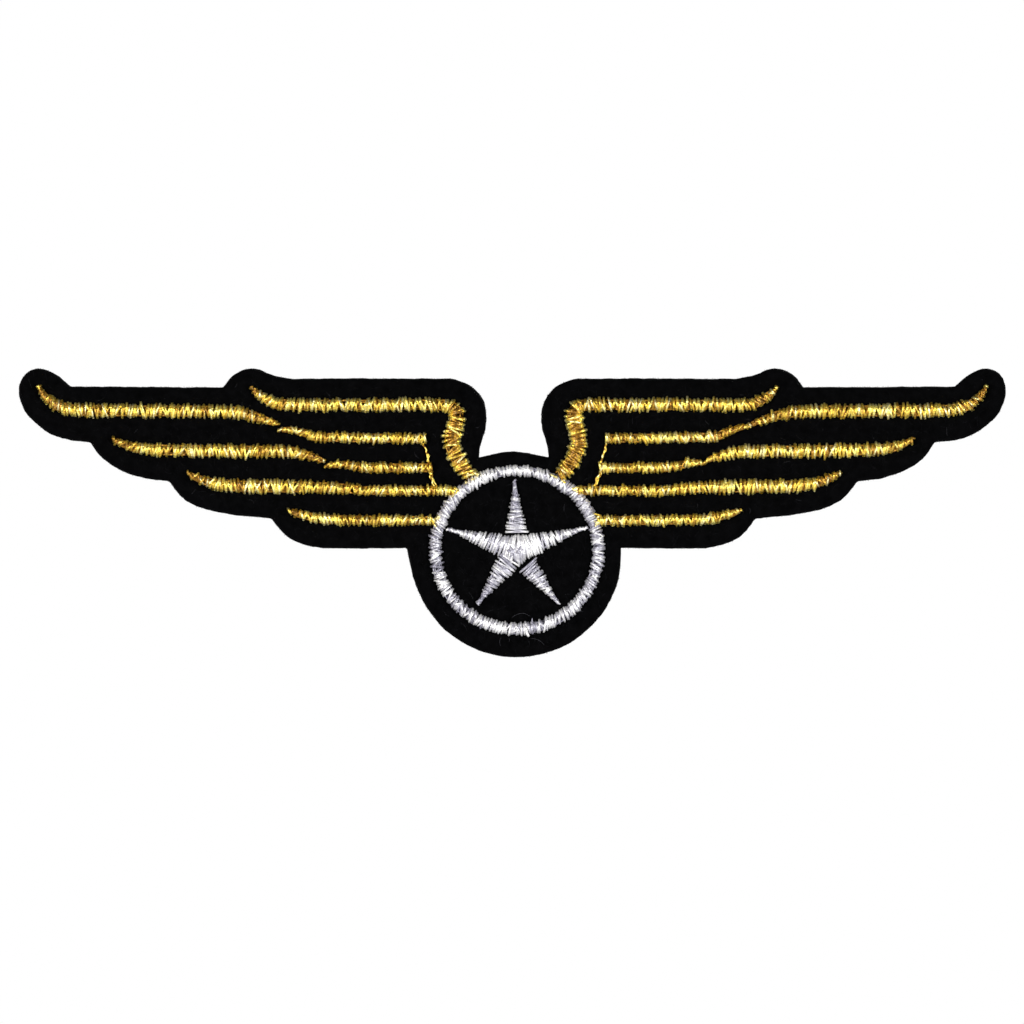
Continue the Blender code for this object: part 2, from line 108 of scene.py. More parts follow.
# Felt.
OUTLINE_STEP = 0.3 * MM
GRID_STEP = 0.42 * MM
EDGE_ROUND = 0.32 * MM
PUCKER_DEPTH = 0.3 * MM
PUCKER_REACH = 0.55 * MM
PUCKER_EVERY = 4
STABILISER_OUTLINE_STEP = 0.8 * MM
STABILISER_GRID_STEP = 2.0 * MM
LIP = 0.17 * MM

# The felt's cut edge from front to rear: how far out and how deep each step lies, as shares.
EDGE_PROFILE = ((0.35, 0.1), (0.75, 0.28), (1.0, 0.5), (1.0, 0.62), (0.75, 0.82), (0.35, 0.95))

# Nap: each face's fibres by name, level, direction, number and finish, then those of the cut edge.
NAPS = (
    ("front_nap", FELT_FRONT, -1.0, 3600, "fibre"),
    ("front_stray_fibres", FELT_FRONT, -1.0, 160, "pale_fibre"),
    ("back_nap", backing_high[1], 1.0, 3400, "fibre"),
    ("back_stray_fibres", backing_high[1], 1.0, 900, "pale_fibre"),
)
EDGE_FIBRES = 3200
NAP_INSET = 1.1 * MM

# Bar pin, where the frame doesn't give a size.
WELD = 0.002 * MM
SHEET_THICKNESS = 0.5 * MM
PIVOT_HOLE_RADIUS = 0.58 * MM
FULL_HOLE = 352.5
CATCH_WALL = 0.45 * MM
CATCH_MOUTH = 1.1 * MM
CATCH_RUNNING_GAP = 0.08 * MM
BARREL_WALL = 0.7 * MM
FLANGE_THICKNESS = 0.4 * MM
TACK_THREAD_RADIUS = 0.12 * MM
TACK_PLY_LENGTH = 0.6 * MM
SHARP_DEG = 38.0

# Spines of the satin bands on the right wing in millimetres: along, up and the band's width there.
WING_BANDS = {
    "shoulder_band": (
        (30.7, 19.0, 0.35), (29.9, 18.2, 0.95), (28.6, 17.45, 1.35), (26.8, 17.0, 1.5),
        (17.5, 16.95, 1.5), (9.2, 16.95, 1.6), (7.6, 16.75, 1.75), (6.85, 16.0, 1.95),
        (6.95, 14.8, 2.05), (7.35, 13.5, 2.05), (7.4, 12.3, 2.05), (6.95, 11.0, 1.95),
        (6.2, 9.85, 1.9), (5.0, 8.4, 1.7),
    ),
    "first_primary_outer": (
        (55.4, 19.15, 0.35), (54.6, 18.0, 0.85), (53.4, 17.0, 1.3), (51.6, 16.45, 1.5),
        (49.0, 16.3, 1.6), (35.0, 16.2, 1.6), (32.2, 16.05, 1.5), (30.6, 15.7, 1.25),
        (29.0, 15.15, 1.0), (27.4, 14.6, 0.4),
    ),
    "first_primary_inner": (
        (27.6, 14.0, 0.35), (26.4, 14.05, 0.7), (25.2, 13.85, 0.95), (24.0, 13.5, 1.05),
        (22.6, 13.2, 1.2), (10.4, 13.0, 1.2),
    ),
    "second_primary_outer": (
        (46.8, 13.1, 0.35), (46.1, 12.65, 0.7), (45.0, 12.2, 1.1), (43.6, 11.85, 1.35),
        (40.9, 11.7, 1.5), (36.0, 11.6, 1.6), (26.9, 11.5, 1.5), (25.0, 11.25, 1.3),
        (23.7, 10.9, 1.0), (22.2, 10.4, 0.4),
    ),
    "second_primary_inner": (
        (22.3, 9.75, 0.35), (21.4, 9.9, 0.7), (20.3, 10.0, 0.95), (19.0, 9.85, 1.05),
        (17.5, 9.65, 1.2), (9.7, 9.6, 1.2),
    ),
    "third_primary": (
        (38.2, 9.05, 0.35), (37.1, 8.45, 0.85), (35.8, 8.0, 1.2), (34.4, 7.65, 1.45),
        (32.0, 7.45, 1.6), (28.0, 7.4, 1.7), (23.4, 7.35, 1.5), (19.8, 7.2, 1.35),
        (16.9, 6.95, 1.2), (8.6, 6.95, 1.2), (7.0, 6.9, 1.3),
    ),
    "fourth_primary": (
        (26.5, 4.7, 0.4), (25.3, 4.25, 0.95), (23.9, 3.9, 1.15), (22.4, 3.6, 1.25),
        (17.5, 3.5, 1.3), (9.45, 3.45, 1.2),
    ),
}
SIDES = (("right", 1), ("left", -1))


# ---------------------------------------------------------------- small helpers

def add_object(name, mesh, material, body, nodes=()):
    """Link a mesh as a piece of the model, with its finish, its body and the CAD nodes it stands for."""
    obj = bpy.data.objects.new(name, mesh)
    bpy.context.scene.collection.objects.link(obj)
    mesh.materials.clear()
    mesh.materials.append(material)
    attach(obj, body)
    if nodes:
        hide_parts(*nodes)
    return obj


def turn_outwards(mesh, weld=0.0):
    """Make all faces look outwards, after joining the points that lie closer together than weld."""
    work = bmesh.new()
    work.from_mesh(mesh)
    if weld:
        bmesh.ops.remove_doubles(work, verts=work.verts, dist=weld)
    bmesh.ops.recalc_face_normals(work, faces=work.faces)
    work.to_mesh(mesh)
    work.free()


def closed_mesh(name, verts, faces):
    mesh = bpy.data.meshes.new(name)
    mesh.from_pydata(verts, [], faces)
    turn_outwards(mesh)
    return mesh


def bridge(upper, lower):
    """Faces between two closed loops that have the same number of points."""
    pairs = list(zip(upper, lower))
    return [(a, b, d, c) for (a, c), (b, d) in zip(pairs, pairs[1:] + pairs[:1])]


def lengths_along(points):
    """How far along a path each of its points lies."""
    gaps = np.linalg.norm(np.diff(points, axis=0), axis=1)
    return np.concatenate([[0.0], np.cumsum(gaps)])


def read_off(points, along, samples):
    """Rows of numbers at the given distances along a path."""
    return np.column_stack([np.interp(samples, along, column) for column in points.T])


def catmull_rom(points, step, columns, fewest):
    """Curve through rows of numbers, sampled about every step of the distance in its first columns."""
    rows = np.array(points, float)
    padded = np.vstack([2 * rows[0] - rows[1], rows, 2 * rows[-1] - rows[-2]])
    fine = []
    for p0, p1, p2, p3 in zip(padded, padded[1:], padded[2:], padded[3:]):
        count = max(fewest, int(np.linalg.norm((p2 - p1)[:columns]) / step))
        for t in np.linspace(0.0, 1.0, count, endpoint=False):
            fine.append(0.5 * (2 * p1 + (p2 - p0) * t + (2 * p0 - 5 * p1 + 4 * p2 - p3) * t * t
                               + (3 * p1 - p0 - 3 * p2 + p3) * t ** 3))
    fine.append(padded[-2])
    return np.array(fine)


def smooth_points(points, step):
    """Smooth curve through rows of numbers, resampled evenly along its first two columns."""
    fine = catmull_rom(points, step, 2, 4)
    along = lengths_along(fine[:, :2])
    return read_off(fine, along, np.linspace(0.0, along[-1], max(2, int(along[-1] / step))))


def planar_tree(points):
    """A search tree over points in the badge's plane."""
    tree = kdtree.KDTree(len(points))
    for i, (x, z) in enumerate(points):
        tree.insert((x, z, 0.0), i)
    tree.balance()
    return tree


class Spine:
    """A curve in the badge's plane that gives its point, side direction and width at any distance."""

    def __init__(self, rows, closed=False):
        self.rows = rows
        self.closed = closed
        self.along = lengths_along(rows[:, :2])
        self.length = self.along[-1]
        tangent = np.gradient(rows[:, :2], axis=0)
        tangent /= np.linalg.norm(tangent, axis=1)[:, None]
        self.tangent = tangent
        heading = np.unwrap(np.arctan2(tangent[:, 1], tangent[:, 0]))
        window = np.ones(9) / 9
        self.bend = np.convolve(np.gradient(heading, self.along), window, "same")

    def at(self, s):
        s = s % self.length if self.closed else min(max(s, 0.0), self.length)
        x, z, width = (np.interp(s, self.along, self.rows[:, k]) for k in range(3))
        tx, tz = (np.interp(s, self.along, self.tangent[:, k]) for k in range(2))
        return np.array([x, z]), np.array([-tz, tx]), width

    def bend_at(self, s):
        """Signed curvature: positive where the curve turns towards its side direction."""
        return 0.0 if self.closed else float(np.interp(s, self.along, self.bend))


class ThreadBatch:
    """Collects twisted threads, each a closed tube through its own path, and makes one mesh of them."""

    def __init__(self, sides=THREAD_SIDES):
        self.sides = sides
        self.verts = []
        self.faces = []
        self.tones = []
        self.count = 0

    def add(self, path, radius, tone, phase, sides=None, ply=PLY_LENGTH):
        """A thread of two plies along path, an array of points; tone is one value or one for each point.

        Where the path runs straight into the felt, a direction near +Z takes the place of the front."""
        sides = sides or self.sides
        path = np.asarray(path, float)
        rings = len(path)
        tangent = np.gradient(path, axis=0)
        tangent /= np.maximum(np.linalg.norm(tangent, axis=1)[:, None], 1e-12)
        up = np.tile(np.array([0.0, -1.0, 0.0]), (rings, 1))
        steep = np.abs(tangent[:, 1]) > 0.95
        up[steep] = np.array([0.0, -0.3, 0.95])
        side = np.cross(tangent, up)
        side /= np.maximum(np.linalg.norm(side, axis=1)[:, None], 1e-12)
        lift = np.cross(side, tangent)
        angle = np.linspace(0.0, 2 * math.pi, sides, endpoint=False)
        turn = phase + 2 * math.pi * lengths_along(path) / ply
        lobe = 1.0 + PLY_GROOVE * np.cos(2 * (angle[None, :] - turn[:, None]))
        taper = np.ones(rings)
        taper[0] = taper[-1] = END_TAPER
        reach = radius * lobe * taper[:, None]
        ring = (path[:, None, :]
                + side[:, None, :] * (reach * np.cos(angle))[:, :, None]
                + lift[:, None, :] * (reach * np.sin(angle))[:, :, None])
        self.verts.append(ring.reshape(-1, 3))
        grid = self.count + np.arange(rings * sides).reshape(rings, sides)
        beside = np.roll(grid, -1, axis=1)
        quads = np.stack([grid[:-1], beside[:-1], beside[1:], grid[1:]], axis=-1).reshape(-1, 4)
        self.faces.extend(quads.tolist())
        self.faces.append(grid[0][::-1].tolist())
        self.faces.append(grid[-1].tolist())
        self.tones.append(np.repeat(np.broadcast_to(tone, rings), sides))
        self.count += rings * sides

    def mesh(self, name):
        made = bpy.data.meshes.new(name)
        made.from_pydata(np.vstack(self.verts).tolist(), [], self.faces)
        tone = made.attributes.new("tone", "FLOAT", "POINT")
        tone.data.foreach_set("value", np.concatenate(self.tones).astype(np.float32))
        made.shade_smooth()
        made.update()
        return made

    def add_piece(self, name, material, node):
        """Make the threads one piece of the badge that stands for a CAD node."""
        add_object(name, self.mesh(name), material, "badge", [node])


def stitch_path(start, end, arch, sink):
    """An arched path from one needle hole to another: points in the badge's plane are (x, z)."""
    length = float(np.linalg.norm(np.asarray(end) - np.asarray(start))) + 1.2 * arch
    t = np.linspace(0.0, 1.0, max(9, int(length / RING_SPACING)))
    t = 0.5 - 0.5 * np.cos(math.pi * t)
    rise = np.sin(math.pi * t) ** ARCH_FULLNESS
    flat_x = start[0] + (end[0] - start[0]) * t
    flat_z = start[1] + (end[1] - start[1]) * t
    depth = FELT_FRONT + sink - (arch + sink) * rise
    return np.column_stack([flat_x, depth, flat_z])


# ---------------------------------------------------------------- materials

class Finish:
    """A material in the making: textures set its colour, its roughness and its relief."""

    def __init__(self, name):
        self.material = bpy.data.materials.new(name)
        self.material.use_nodes = True
        self.nodes = self.material.node_tree.nodes
        self.links = self.material.node_tree.links
        self.shader = self.nodes["Principled BSDF"]
        self.relief = None

    def node(self, kind, **values):
        """A new node; values fill the sockets of those names, with _ for a space."""
        made = self.nodes.new("ShaderNode" + kind)
        for socket, value in values.items():
            made.inputs[socket.replace("_", " ")].default_value = value
        return made

    def texture(self, kind, **values):
        """A texture that stays with the piece as it moves."""
        coords = self.node("TexCoord")
        made = self.node(kind, **values)
        self.links.new(coords.outputs["Object"], made.inputs["Vector"])
        return made

    def noise(self, scale, detail=3.0, roughness=0.6):
        return self.texture("TexNoise", Scale=scale, Detail=detail, Roughness=roughness).outputs["Fac"]

    def colour_by(self, source, stops):
        """Colour that runs over a ramp of stops as source runs from 0 to 1."""
        made = self.node("ValToRGB")
        ramp = made.color_ramp
        while len(ramp.elements) < len(stops):
            ramp.elements.new(0.5)
        for element, (position, colour) in zip(ramp.elements, stops):
            element.position = position
            element.color = (*colour, 1.0)
        self.links.new(source, made.inputs["Fac"])
        self.links.new(made.outputs["Color"], self.shader.inputs["Base Color"])

    def roughness_by(self, source, low, high):
        made = self.node("MapRange", To_Min=low, To_Max=high)
        self.links.new(source, made.inputs["Value"])
        self.links.new(made.outputs["Result"], self.shader.inputs["Roughness"])

    def bump_by(self, source, strength, distance):
        """Relief that follows source, on top of the relief so far."""
        made = self.node("Bump", Strength=strength, Distance=distance)
        self.links.new(source, made.inputs["Height"])
        if self.relief:
            self.links.new(self.relief, made.inputs["Normal"])
        self.relief = made.outputs["Normal"]
        self.links.new(self.relief, self.shader.inputs["Normal"])

    def done(self, **values):
        """Set the shader's plain values and hand over the material."""
        for socket, value in values.items():
            self.shader.inputs[socket.replace("_", " ")].default_value = value
        return self.material


def thread_material(name, dark, middle, light, pale, metallic, rough_low, rough_high, coat, facets):
    """Embroidery thread: tone by stitch and along it, painted shade and highlights included, filaments and
    facets in the bump, and a gloss.
    """
    finish = Finish(name)
    tone = finish.node("Attribute")
    tone.attribute_name = "tone"
    speck = finish.noise(2600.0, 2.0)
    mix = finish.node("Math")
    mix.operation = "MULTIPLY_ADD"
    mix.inputs[1].default_value = 0.5
    finish.links.new(speck, mix.inputs[0])
    finish.links.new(tone.outputs["Fac"], mix.inputs[2])
    # The lowest stop, shade, is painted shade that the underlay and the darkest stitches reach; the top stops
    # are reached by painted highlights and by the brightest stitches.
    shade = tuple(0.6 * channel for channel in dark)
    stops = ((0.0, shade), (0.2, dark), (0.55, middle), (0.9, light), (1.0, pale))
    finish.colour_by(mix.outputs[0], stops)
    finish.roughness_by(speck, rough_low, rough_high)
    finish.bump_by(finish.noise(9000.0, 2.0), 0.5, 0.03 * MM)
    finish.bump_by(finish.noise(3400.0, 1.0), 1.0, facets)
    return finish.done(Metallic=metallic, Coat_Weight=coat, Coat_Roughness=0.2)


def felt_material(name, dark, light):
    """Matt wool felt: matted fibres in two sizes of noise."""
    finish = Finish(name)
    finish.colour_by(finish.noise(900.0, 5.0, 0.7), ((0.3, dark), (0.75, light)))
    finish.bump_by(finish.noise(4200.0, 4.0, 0.75), 0.7, 0.08 * MM)
    return finish.done(Roughness=1.0, Specular_IOR_Level=0.02)


def cloth_material(name, warp, weft):
    """Stiff cloth: fine bands of darker and lighter threads."""
    finish = Finish(name)
    weave = finish.texture("TexWave", Scale=700.0, Distortion=1.5).outputs["Fac"]
    finish.colour_by(weave, ((0.2, warp), (0.8, weft)))
    finish.bump_by(weave, 0.5, 0.05 * MM)
    return finish.done(Roughness=0.9)


def metal_material(name):
    """Nickel-plated pressed steel: brushed lines along the bar and cloudy wear."""
    finish = Finish(name)
    stretch = finish.texture("Mapping", Scale=(0.04, 1.0, 1.0))
    brushed = finish.node("TexNoise", Scale=5200.0, Detail=4.0)
    finish.links.new(stretch.outputs["Vector"], brushed.inputs["Vector"])
    cloud = finish.noise(320.0, 4.0)
    stops = ((0.3, (0.52, 0.49, 0.45)), (0.5, (0.67, 0.65, 0.61)), (0.75, (0.76, 0.75, 0.72)))
    finish.colour_by(cloud, stops)
    finish.roughness_by(cloud, 0.16, 0.42)
    finish.bump_by(brushed.outputs["Fac"], 0.25, 0.01 * MM)
    return finish.done(Metallic=1.0)


def floor_material(name):
    """Pale matt paper."""
    finish = Finish(name)
    finish.colour_by(finish.noise(60.0), ((0.3, (0.86, 0.86, 0.86)), (0.7, (0.9, 0.9, 0.9))))
    return finish.done(Roughness=0.9)


def make_materials():
    return {
        "gold": thread_material("metallic_gold_thread", (0.38, 0.19, 0.018), (0.9, 0.64, 0.08),
                                (1.0, 0.9, 0.25), (1.0, 0.88, 0.42), 0.9, 0.2, 0.42, 0.4, 0.12 * MM),
        "silver": thread_material("silver_white_thread", (0.32, 0.31, 0.38), (0.62, 0.61, 0.65),
                                  (0.95, 0.94, 0.92), (1.0, 1.0, 1.0), 0.5, 0.22, 0.4, 0.8, 0.1 * MM),
        "black_thread": thread_material("black_sewing_thread", (0.008, 0.008, 0.009), (0.016, 0.016, 0.018),
                                        (0.035, 0.035, 0.038), (0.035, 0.035, 0.038), 0.0, 0.55, 0.8, 0.0,
                                        0.03 * MM),
        "felt": felt_material("black_wool_felt", (0.0005, 0.0005, 0.0006), (0.0022, 0.0022, 0.0025)),
        "backing": felt_material("black_backing_felt", (0.003, 0.003, 0.0034), (0.013, 0.013, 0.0145)),
        "fibre": felt_material("felt_fibres", (0.005, 0.005, 0.0058), (0.015, 0.015, 0.018)),
        "pale_fibre": felt_material("pale_felt_fibres", (0.02, 0.02, 0.023), (0.07, 0.07, 0.08)),
        "stabiliser": cloth_material("stabiliser_cloth", (0.62, 0.6, 0.55), (0.78, 0.76, 0.71)),
        "metal": metal_material("nickel_plated_steel"),
    }


# ---------------------------------------------------------------- satin stitching

def drift(x):
    """Where a point of the bands drawn at x really lies: shifted to the left, most at the tips."""
    return x - BAND_DRIFT - (TIP_DRIFT - BAND_DRIFT) * (x / TIP_REACH) ** 2


def band_spine(band_name, rows, side):
    """A band's spine on its side of the badge, in metres."""
    joined = side > 0 and band_name.endswith("inner")
    placed = []
    for x, z, width in rows:
        from_start = (rows[0][0] - x) * MM
        lift = JOIN_LIFT * max(0.0, 1.0 - from_start / JOIN_LENGTH) if joined else 0.0
        placed.append((drift(side * x * MM), z * MM + lift, width * MM))
    return Spine(smooth_points(placed, PATH_STEP))


def satin(batch, spine, rng, radius, arch, pitch=STITCH_PITCH, ragged=0.13 * MM, lean=0.0, sway=0.42 * MM,
          skew=0.36, tone=0.33, end_highlight=0.38, upright_painted_shade=-0.42, upright_extra_highlight=0.0, upright_size=0.0):
    """Zigzag satin stitch across a spine: every needle hole is a little out of place, as on a real machine.

    lean slants every stitch and sway slants them by turns along the way, both as a shift along the spine.
    skew is the spread of single holes along the spine, in pitches. tone is the threads' mean tone.
    end_highlight is a painted highlight added to it at both ends of a stitch, and upright_painted_shade a
    painted shade added where the spine runs up or down. Where it runs up or down, upright_extra_highlight
    adds more painted highlight to end_highlight, and upright_size is added to the stitches' size."""
    holes = []
    levels = []
    tones = []
    sizes = []
    s = 0.0
    edge = 1
    wander = rng.uniform(0.0, 50.0)
    while s <= spine.length + (pitch if spine.closed else 0.0):
        bend = spine.bend_at(s)
        swayed = sway * noise.noise((s * SLANT_NOISE, wander, 0.0))
        centre, across, width = spine.at(s + edge * (lean + swayed) + rng.gauss(0.0, skew) * pitch)
        reach = width / 2 - radius * 0.5 + rng.gauss(0.0, 0.6) * ragged
        crowd = min(1.0, max(0.0, bend * edge) * width / 2)
        if crowd > CROWDED:
            reach *= 1.0 - 0.5 * crowd * rng.random()
        if rng.random() < STRAY_SHARE:
            reach += 1.1 * ragged
        holes.append(centre + across * edge * max(reach, 0.05 * MM))
        levels.append(noise.noise((s * TONE_NOISE, wander + 9.0, 0.0)))
        upright = abs(across[0])
        # Painted shade where the spine runs up or down, and a painted highlight at both ends of each stitch,
        # more of it there.
        tones.append((tone + upright_painted_shade * upright, end_highlight + upright_extra_highlight * upright))
        sizes.append(1.0 + upright_size * upright)
        packing = 1.0 + BEND_PACKING * min(abs(bend) * width, MOST_BEND)
        s += pitch * sizes[-1] / 2 / packing * rng.uniform(0.85, 1.15)
        edge = -edge
    stitches = zip(holes, holes[1:], levels, tones, sizes)
    for first, second, level, (tone_with_shade, highlight_at_ends), size in stitches:
        span = np.linalg.norm(second - first)
        height = arch * min(1.0, 0.35 + span / (1.6 * MM)) * rng.uniform(0.8, 1.18)
        shade = min(max(rng.gauss(tone_with_shade, TONE_SPREAD) + 0.4 * level, LOWEST_TONE), 1.0)
        path = stitch_path(first, second, height, STITCH_SINK)
        # Painted highlight: full at both ends of the stitch, none at its middle.
        highlight_mask = 1.0 - np.sin(np.linspace(0.0, math.pi, len(path)))
        thickness = radius * size * rng.uniform(0.86, 1.1)
        batch.add(path, thickness, shade + highlight_at_ends * highlight_mask, rng.uniform(0.0, ANY_PHASE))
    add_underlay(batch, spine, rng, radius, arch)


def add_loose_stitches(batch, spine, rng, radius, count, lean, tones):
    """Stitches that lie askew on top of the satin, from one side to the other."""
    for _ in range(count):
        s = rng.uniform(0.0, spine.length)
        centre, across, width = spine.at(s)
        other, other_across, _ = spine.at(s + rng.uniform(-lean, lean))
        start = centre + across * width * rng.uniform(0.3, 0.56)
        end = other - other_across * width * rng.uniform(0.3, 0.56)
        path = stitch_path(start, end, BAND_ARCH * rng.uniform(1.15, 1.4), STITCH_SINK)
        batch.add(path, radius * 0.9, rng.uniform(*tones), rng.uniform(0.0, ANY_PHASE))


def add_end_tuft(batch, spine, rng, radius):
    """Short stitches that fasten a band's inner end over the ring's outer edge."""
    end, _, width = spine.at(spine.length)
    for _ in range(END_TUFT_STITCHES):
        start = end + np.array([rng.uniform(-0.5, 0.5), rng.uniform(-0.5, 0.5)]) * width
        inwards = -start / np.linalg.norm(start)
        sideways = np.array([-inwards[1], inwards[0]]) * rng.uniform(-0.8, 0.8)
        stop = start + (inwards + sideways) * rng.uniform(0.4, 0.7) * MM
        stop *= max(1.0, END_TUFT_LIMIT / np.linalg.norm(stop))
        start *= max(1.0, END_TUFT_LIMIT / np.linalg.norm(start))
        path = stitch_path(start, stop, BAND_ARCH * rng.uniform(1.2, 1.5), STITCH_SINK)
        batch.add(path, radius * 0.9, rng.uniform(0.3, 1.1), rng.uniform(0.0, ANY_PHASE))


def add_underlay(batch, spine, rng, radius, arch):
    """Long stitches below the satin, which pad it and close the view down to the felt, with painted shade as
    their tone.
    """
    for offset in UNDERLAY_OFFSETS:
        s = 0.3 * MM
        while s < spine.length - 0.5 * MM:
            end = min(s + rng.uniform(1.5, 2.1) * MM, spine.length - 0.2 * MM)
            points = []
            for t in np.linspace(0.0, 1.0, 7):
                centre, across, width = spine.at(s + (end - s) * t)
                flat = centre + across * width * offset
                rise = math.sin(math.pi * t) ** 0.5
                depth = FELT_FRONT + 0.2 * MM - (0.2 * MM + 0.3 * arch) * rise
                points.append((flat[0], depth, flat[1]))
            batch.add(points, radius * 0.85, UNDERLAY_SHADE_TONE, rng.uniform(0.0, ANY_PHASE), sides=8)
            s = end


def make_bands(materials):
    spines = []
    for side_number, (side_name, side) in enumerate(SIDES):
        for number, (band_name, rows) in enumerate(WING_BANDS.items()):
            rng = random.Random(100 * side_number + number)
            node = f"{side_name}_{band_name}"
            spine = band_spine(band_name, rows, side)
            spines.append(spine)
            batch = ThreadBatch()
            # The gold stitches get painted shade where a band runs up or down, and brighter painted
            # highlights at their ends there.
            satin(batch, spine, rng, GOLD_RADIUS, BAND_ARCH, upright_painted_shade=-0.72, upright_extra_highlight=1.1,
                  upright_size=0.3)
            loose = int(spine.length / LOOSE_STITCH_EVERY)
            add_loose_stitches(batch, spine, rng, GOLD_RADIUS, loose, 0.8 * MM, (0.1, 1.1))
            if np.linalg.norm(spine.rows[-1, :2]) < RING_OUTER + END_TUFT_REACH:
                add_end_tuft(batch, spine, rng, GOLD_RADIUS)
            batch.add_piece(f"{node}_stitches", materials["gold"], node)
    return spines


def make_jump_threads(materials):
    """Single threads that the machine left uncut between bands: thin and kinked, with painted glints along
    them.
    """
    for side_number, (side_name, side) in enumerate(SIDES):
        for number in (1, 2):
            rng = random.Random(500 + 10 * side_number + number)
            node = f"{side_name}_jump_thread_{number}"
            low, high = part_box(node)
            top = np.array([high[0] if side > 0 else low[0], high[2] + 0.3 * MM])
            bottom = np.array([low[0] if side > 0 else high[0], low[2] - 0.3 * MM])
            batch = ThreadBatch()
            for strand in range(2):
                shift = np.array([side * 0.28 * MM * strand * (number - 1), 0.0])
                path = stitch_path(top + shift, bottom + shift * 0.5, 0.2 * MM, 0.2 * MM)
                middle = np.sin(np.linspace(0.0, math.pi, len(path)))
                for i, row in enumerate(path):
                    kink = noise.noise((row[2] * 1500, 7.0 * strand + number, side * 3.0))
                    row[0] += (0.5 * kink + 0.06 * side) * MM * middle[i]
                # Painted glints: the tone runs from dark to bright along each strand.
                painted_glints = [noise.noise((row[2] * 2600, 11.0 * strand + number, side * 5.0)) for row in path]
                tones = 0.3 + 1.5 * np.array(painted_glints)
                radius = GOLD_RADIUS * (0.75 if strand == 0 else 0.6)
                batch.add(path, radius, tones, rng.uniform(0.0, ANY_PHASE))
            batch.add_piece(f"{node}_loop", materials["gold"], node)


# Loose threads of the ring: the route in millimetres, the thickness against the ring's own threads, the tone.
RING_TAILS = (
    (((1.86, -7.95), (1.84, -8.6), (1.93, -9.2), (1.9, -9.5)), 0.6, -0.1),
    (((1.05, -9.0), (1.2, -9.5), (1.3, -9.85), (1.5, -10.1)), 1.35, 0.6),
)


def ring_spine():
    """A slightly oval ring, a little narrower and flatter at the top."""
    angles = np.linspace(0.0, 2 * math.pi, 721)
    at_top = np.exp(-((angles - math.pi / 2) / 0.45) ** 2)
    width = (1.43 - 0.23 * at_top) * MM
    across = RING_OUTER + 0.09 * MM - width / 2
    upright = RING_OUTER - (0.2 + 0.09 * at_top) * MM - width / 2
    rows = np.column_stack([0.08 * MM + across * np.cos(angles), upright * np.sin(angles), width])
    return Spine(rows, closed=True)


def make_ring(materials):
    """The ring's satin wanders in slant and reach, with loose stitches and two loose threads at its foot."""
    rng = random.Random(31)
    spine = ring_spine()
    batch = ThreadBatch(RING_THREAD_SIDES)
    # The ring's stitches get a faint painted highlight at their ends and painted shade where the ring runs up
    # or down.
    satin(batch, spine, rng, SILVER_RADIUS, BAND_ARCH, 0.34 * MM, 0.11 * MM, 0.03 * MM, 0.4 * MM,
          tone=0.44, end_highlight=0.1, upright_painted_shade=-0.3)
    add_loose_stitches(batch, spine, rng, SILVER_RADIUS, 110, 0.9 * MM, (0.1, 1.0))
    for points, size, tone in RING_TAILS:
        curve = smooth_points([(x * MM, z * MM) for x, z in points], 0.1 * MM)
        lift = FELT_FRONT - BAND_ARCH * np.linspace(1.5, 0.5, len(curve))
        batch.add(np.column_stack([curve[:, 0], lift, curve[:, 1]]), SILVER_RADIUS * size, tone, 0.0)
    batch.add_piece("ring_stitches", materials["silver"], "ring")
    return spine


def make_star(materials):
    """Each point's satin runs across its own axis, from the centre out; the centre is stitched over them."""
    spines = []
    low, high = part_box("star_top_point")
    base_width = high[0] - low[0]
    # Each point: its name, the shift of its inner start, its lean, the shift of its tip in millimetres, its
    # tone and the painted highlight at both ends of its stitches. The tones hold painted shade: darkest on
    # the top point, whose stitches run across.
    points = (
        ("top", 0.0, 0.05 * MM, (-0.2, 0.0), -0.1, 0.9),
        ("left", -0.7 * MM, 0.05 * MM, (-0.3, -0.05), 0.3, 0.2),
        ("lower_left", -0.9 * MM, 0.02 * MM, (0.2, 0.2), 0.08, 0.4),
        ("lower_right", 0.1 * MM, 0.08 * MM, (0.25, 0.25), 0.1, 0.4),
        ("right", -1.1 * MM, -0.05 * MM, (0.5, 0.15), 0.6, 0.2),
    )
    for number, (name, start_shift, lean, tip_shift, tone, end_highlight) in enumerate(points):
        rng = random.Random(60 + number)
        angle = math.pi / 2 + 2 * math.pi * number / 5
        out = np.array([math.cos(angle), math.sin(angle)])
        inner = low[2] + start_shift
        rows = []
        for t in np.linspace(0.0, 1.0, 7):
            reach = inner + (high[2] - inner) * t
            taper = min(1.0, (high[2] - reach) / (high[2] - low[2]))
            width = max(base_width * 0.9 * taper, 0.34 * MM)
            x, z = (out[k] * reach + tip_shift[k] * t * MM for k in range(2))
            rows.append((x, z, width))
        spine = Spine(smooth_points(rows, PATH_STEP))
        spines.append(spine)
        batch = ThreadBatch()
        arch = 1.05 * BAND_ARCH
        satin(batch, spine, rng, SILVER_RADIUS, arch, 0.35 * MM, 0.09 * MM, lean, 0.2 * MM, 0.26,
              tone, end_highlight, 0.0)
        node = f"star_{name}_point"
        batch.add_piece(f"{node}_stitches", materials["silver"], node)
    make_star_centre(materials)
    return spines


def jittered(point, rng, spread):
    """A point given in millimetres, moved a little at random, in metres."""
    return np.array(point) * MM + np.array([rng.gauss(0, spread), rng.gauss(0, spread)]) * MM


def centre_stitch(batch, rng, start, end, height, tone, spread=0.07):
    start = jittered(start, rng, spread)
    end = jittered(end, rng, spread)
    path = stitch_path(start, end, BAND_ARCH * height, STITCH_SINK)
    batch.add(path, SILVER_RADIUS * rng.uniform(0.9, 1.1), tone, rng.uniform(0.0, ANY_PHASE))


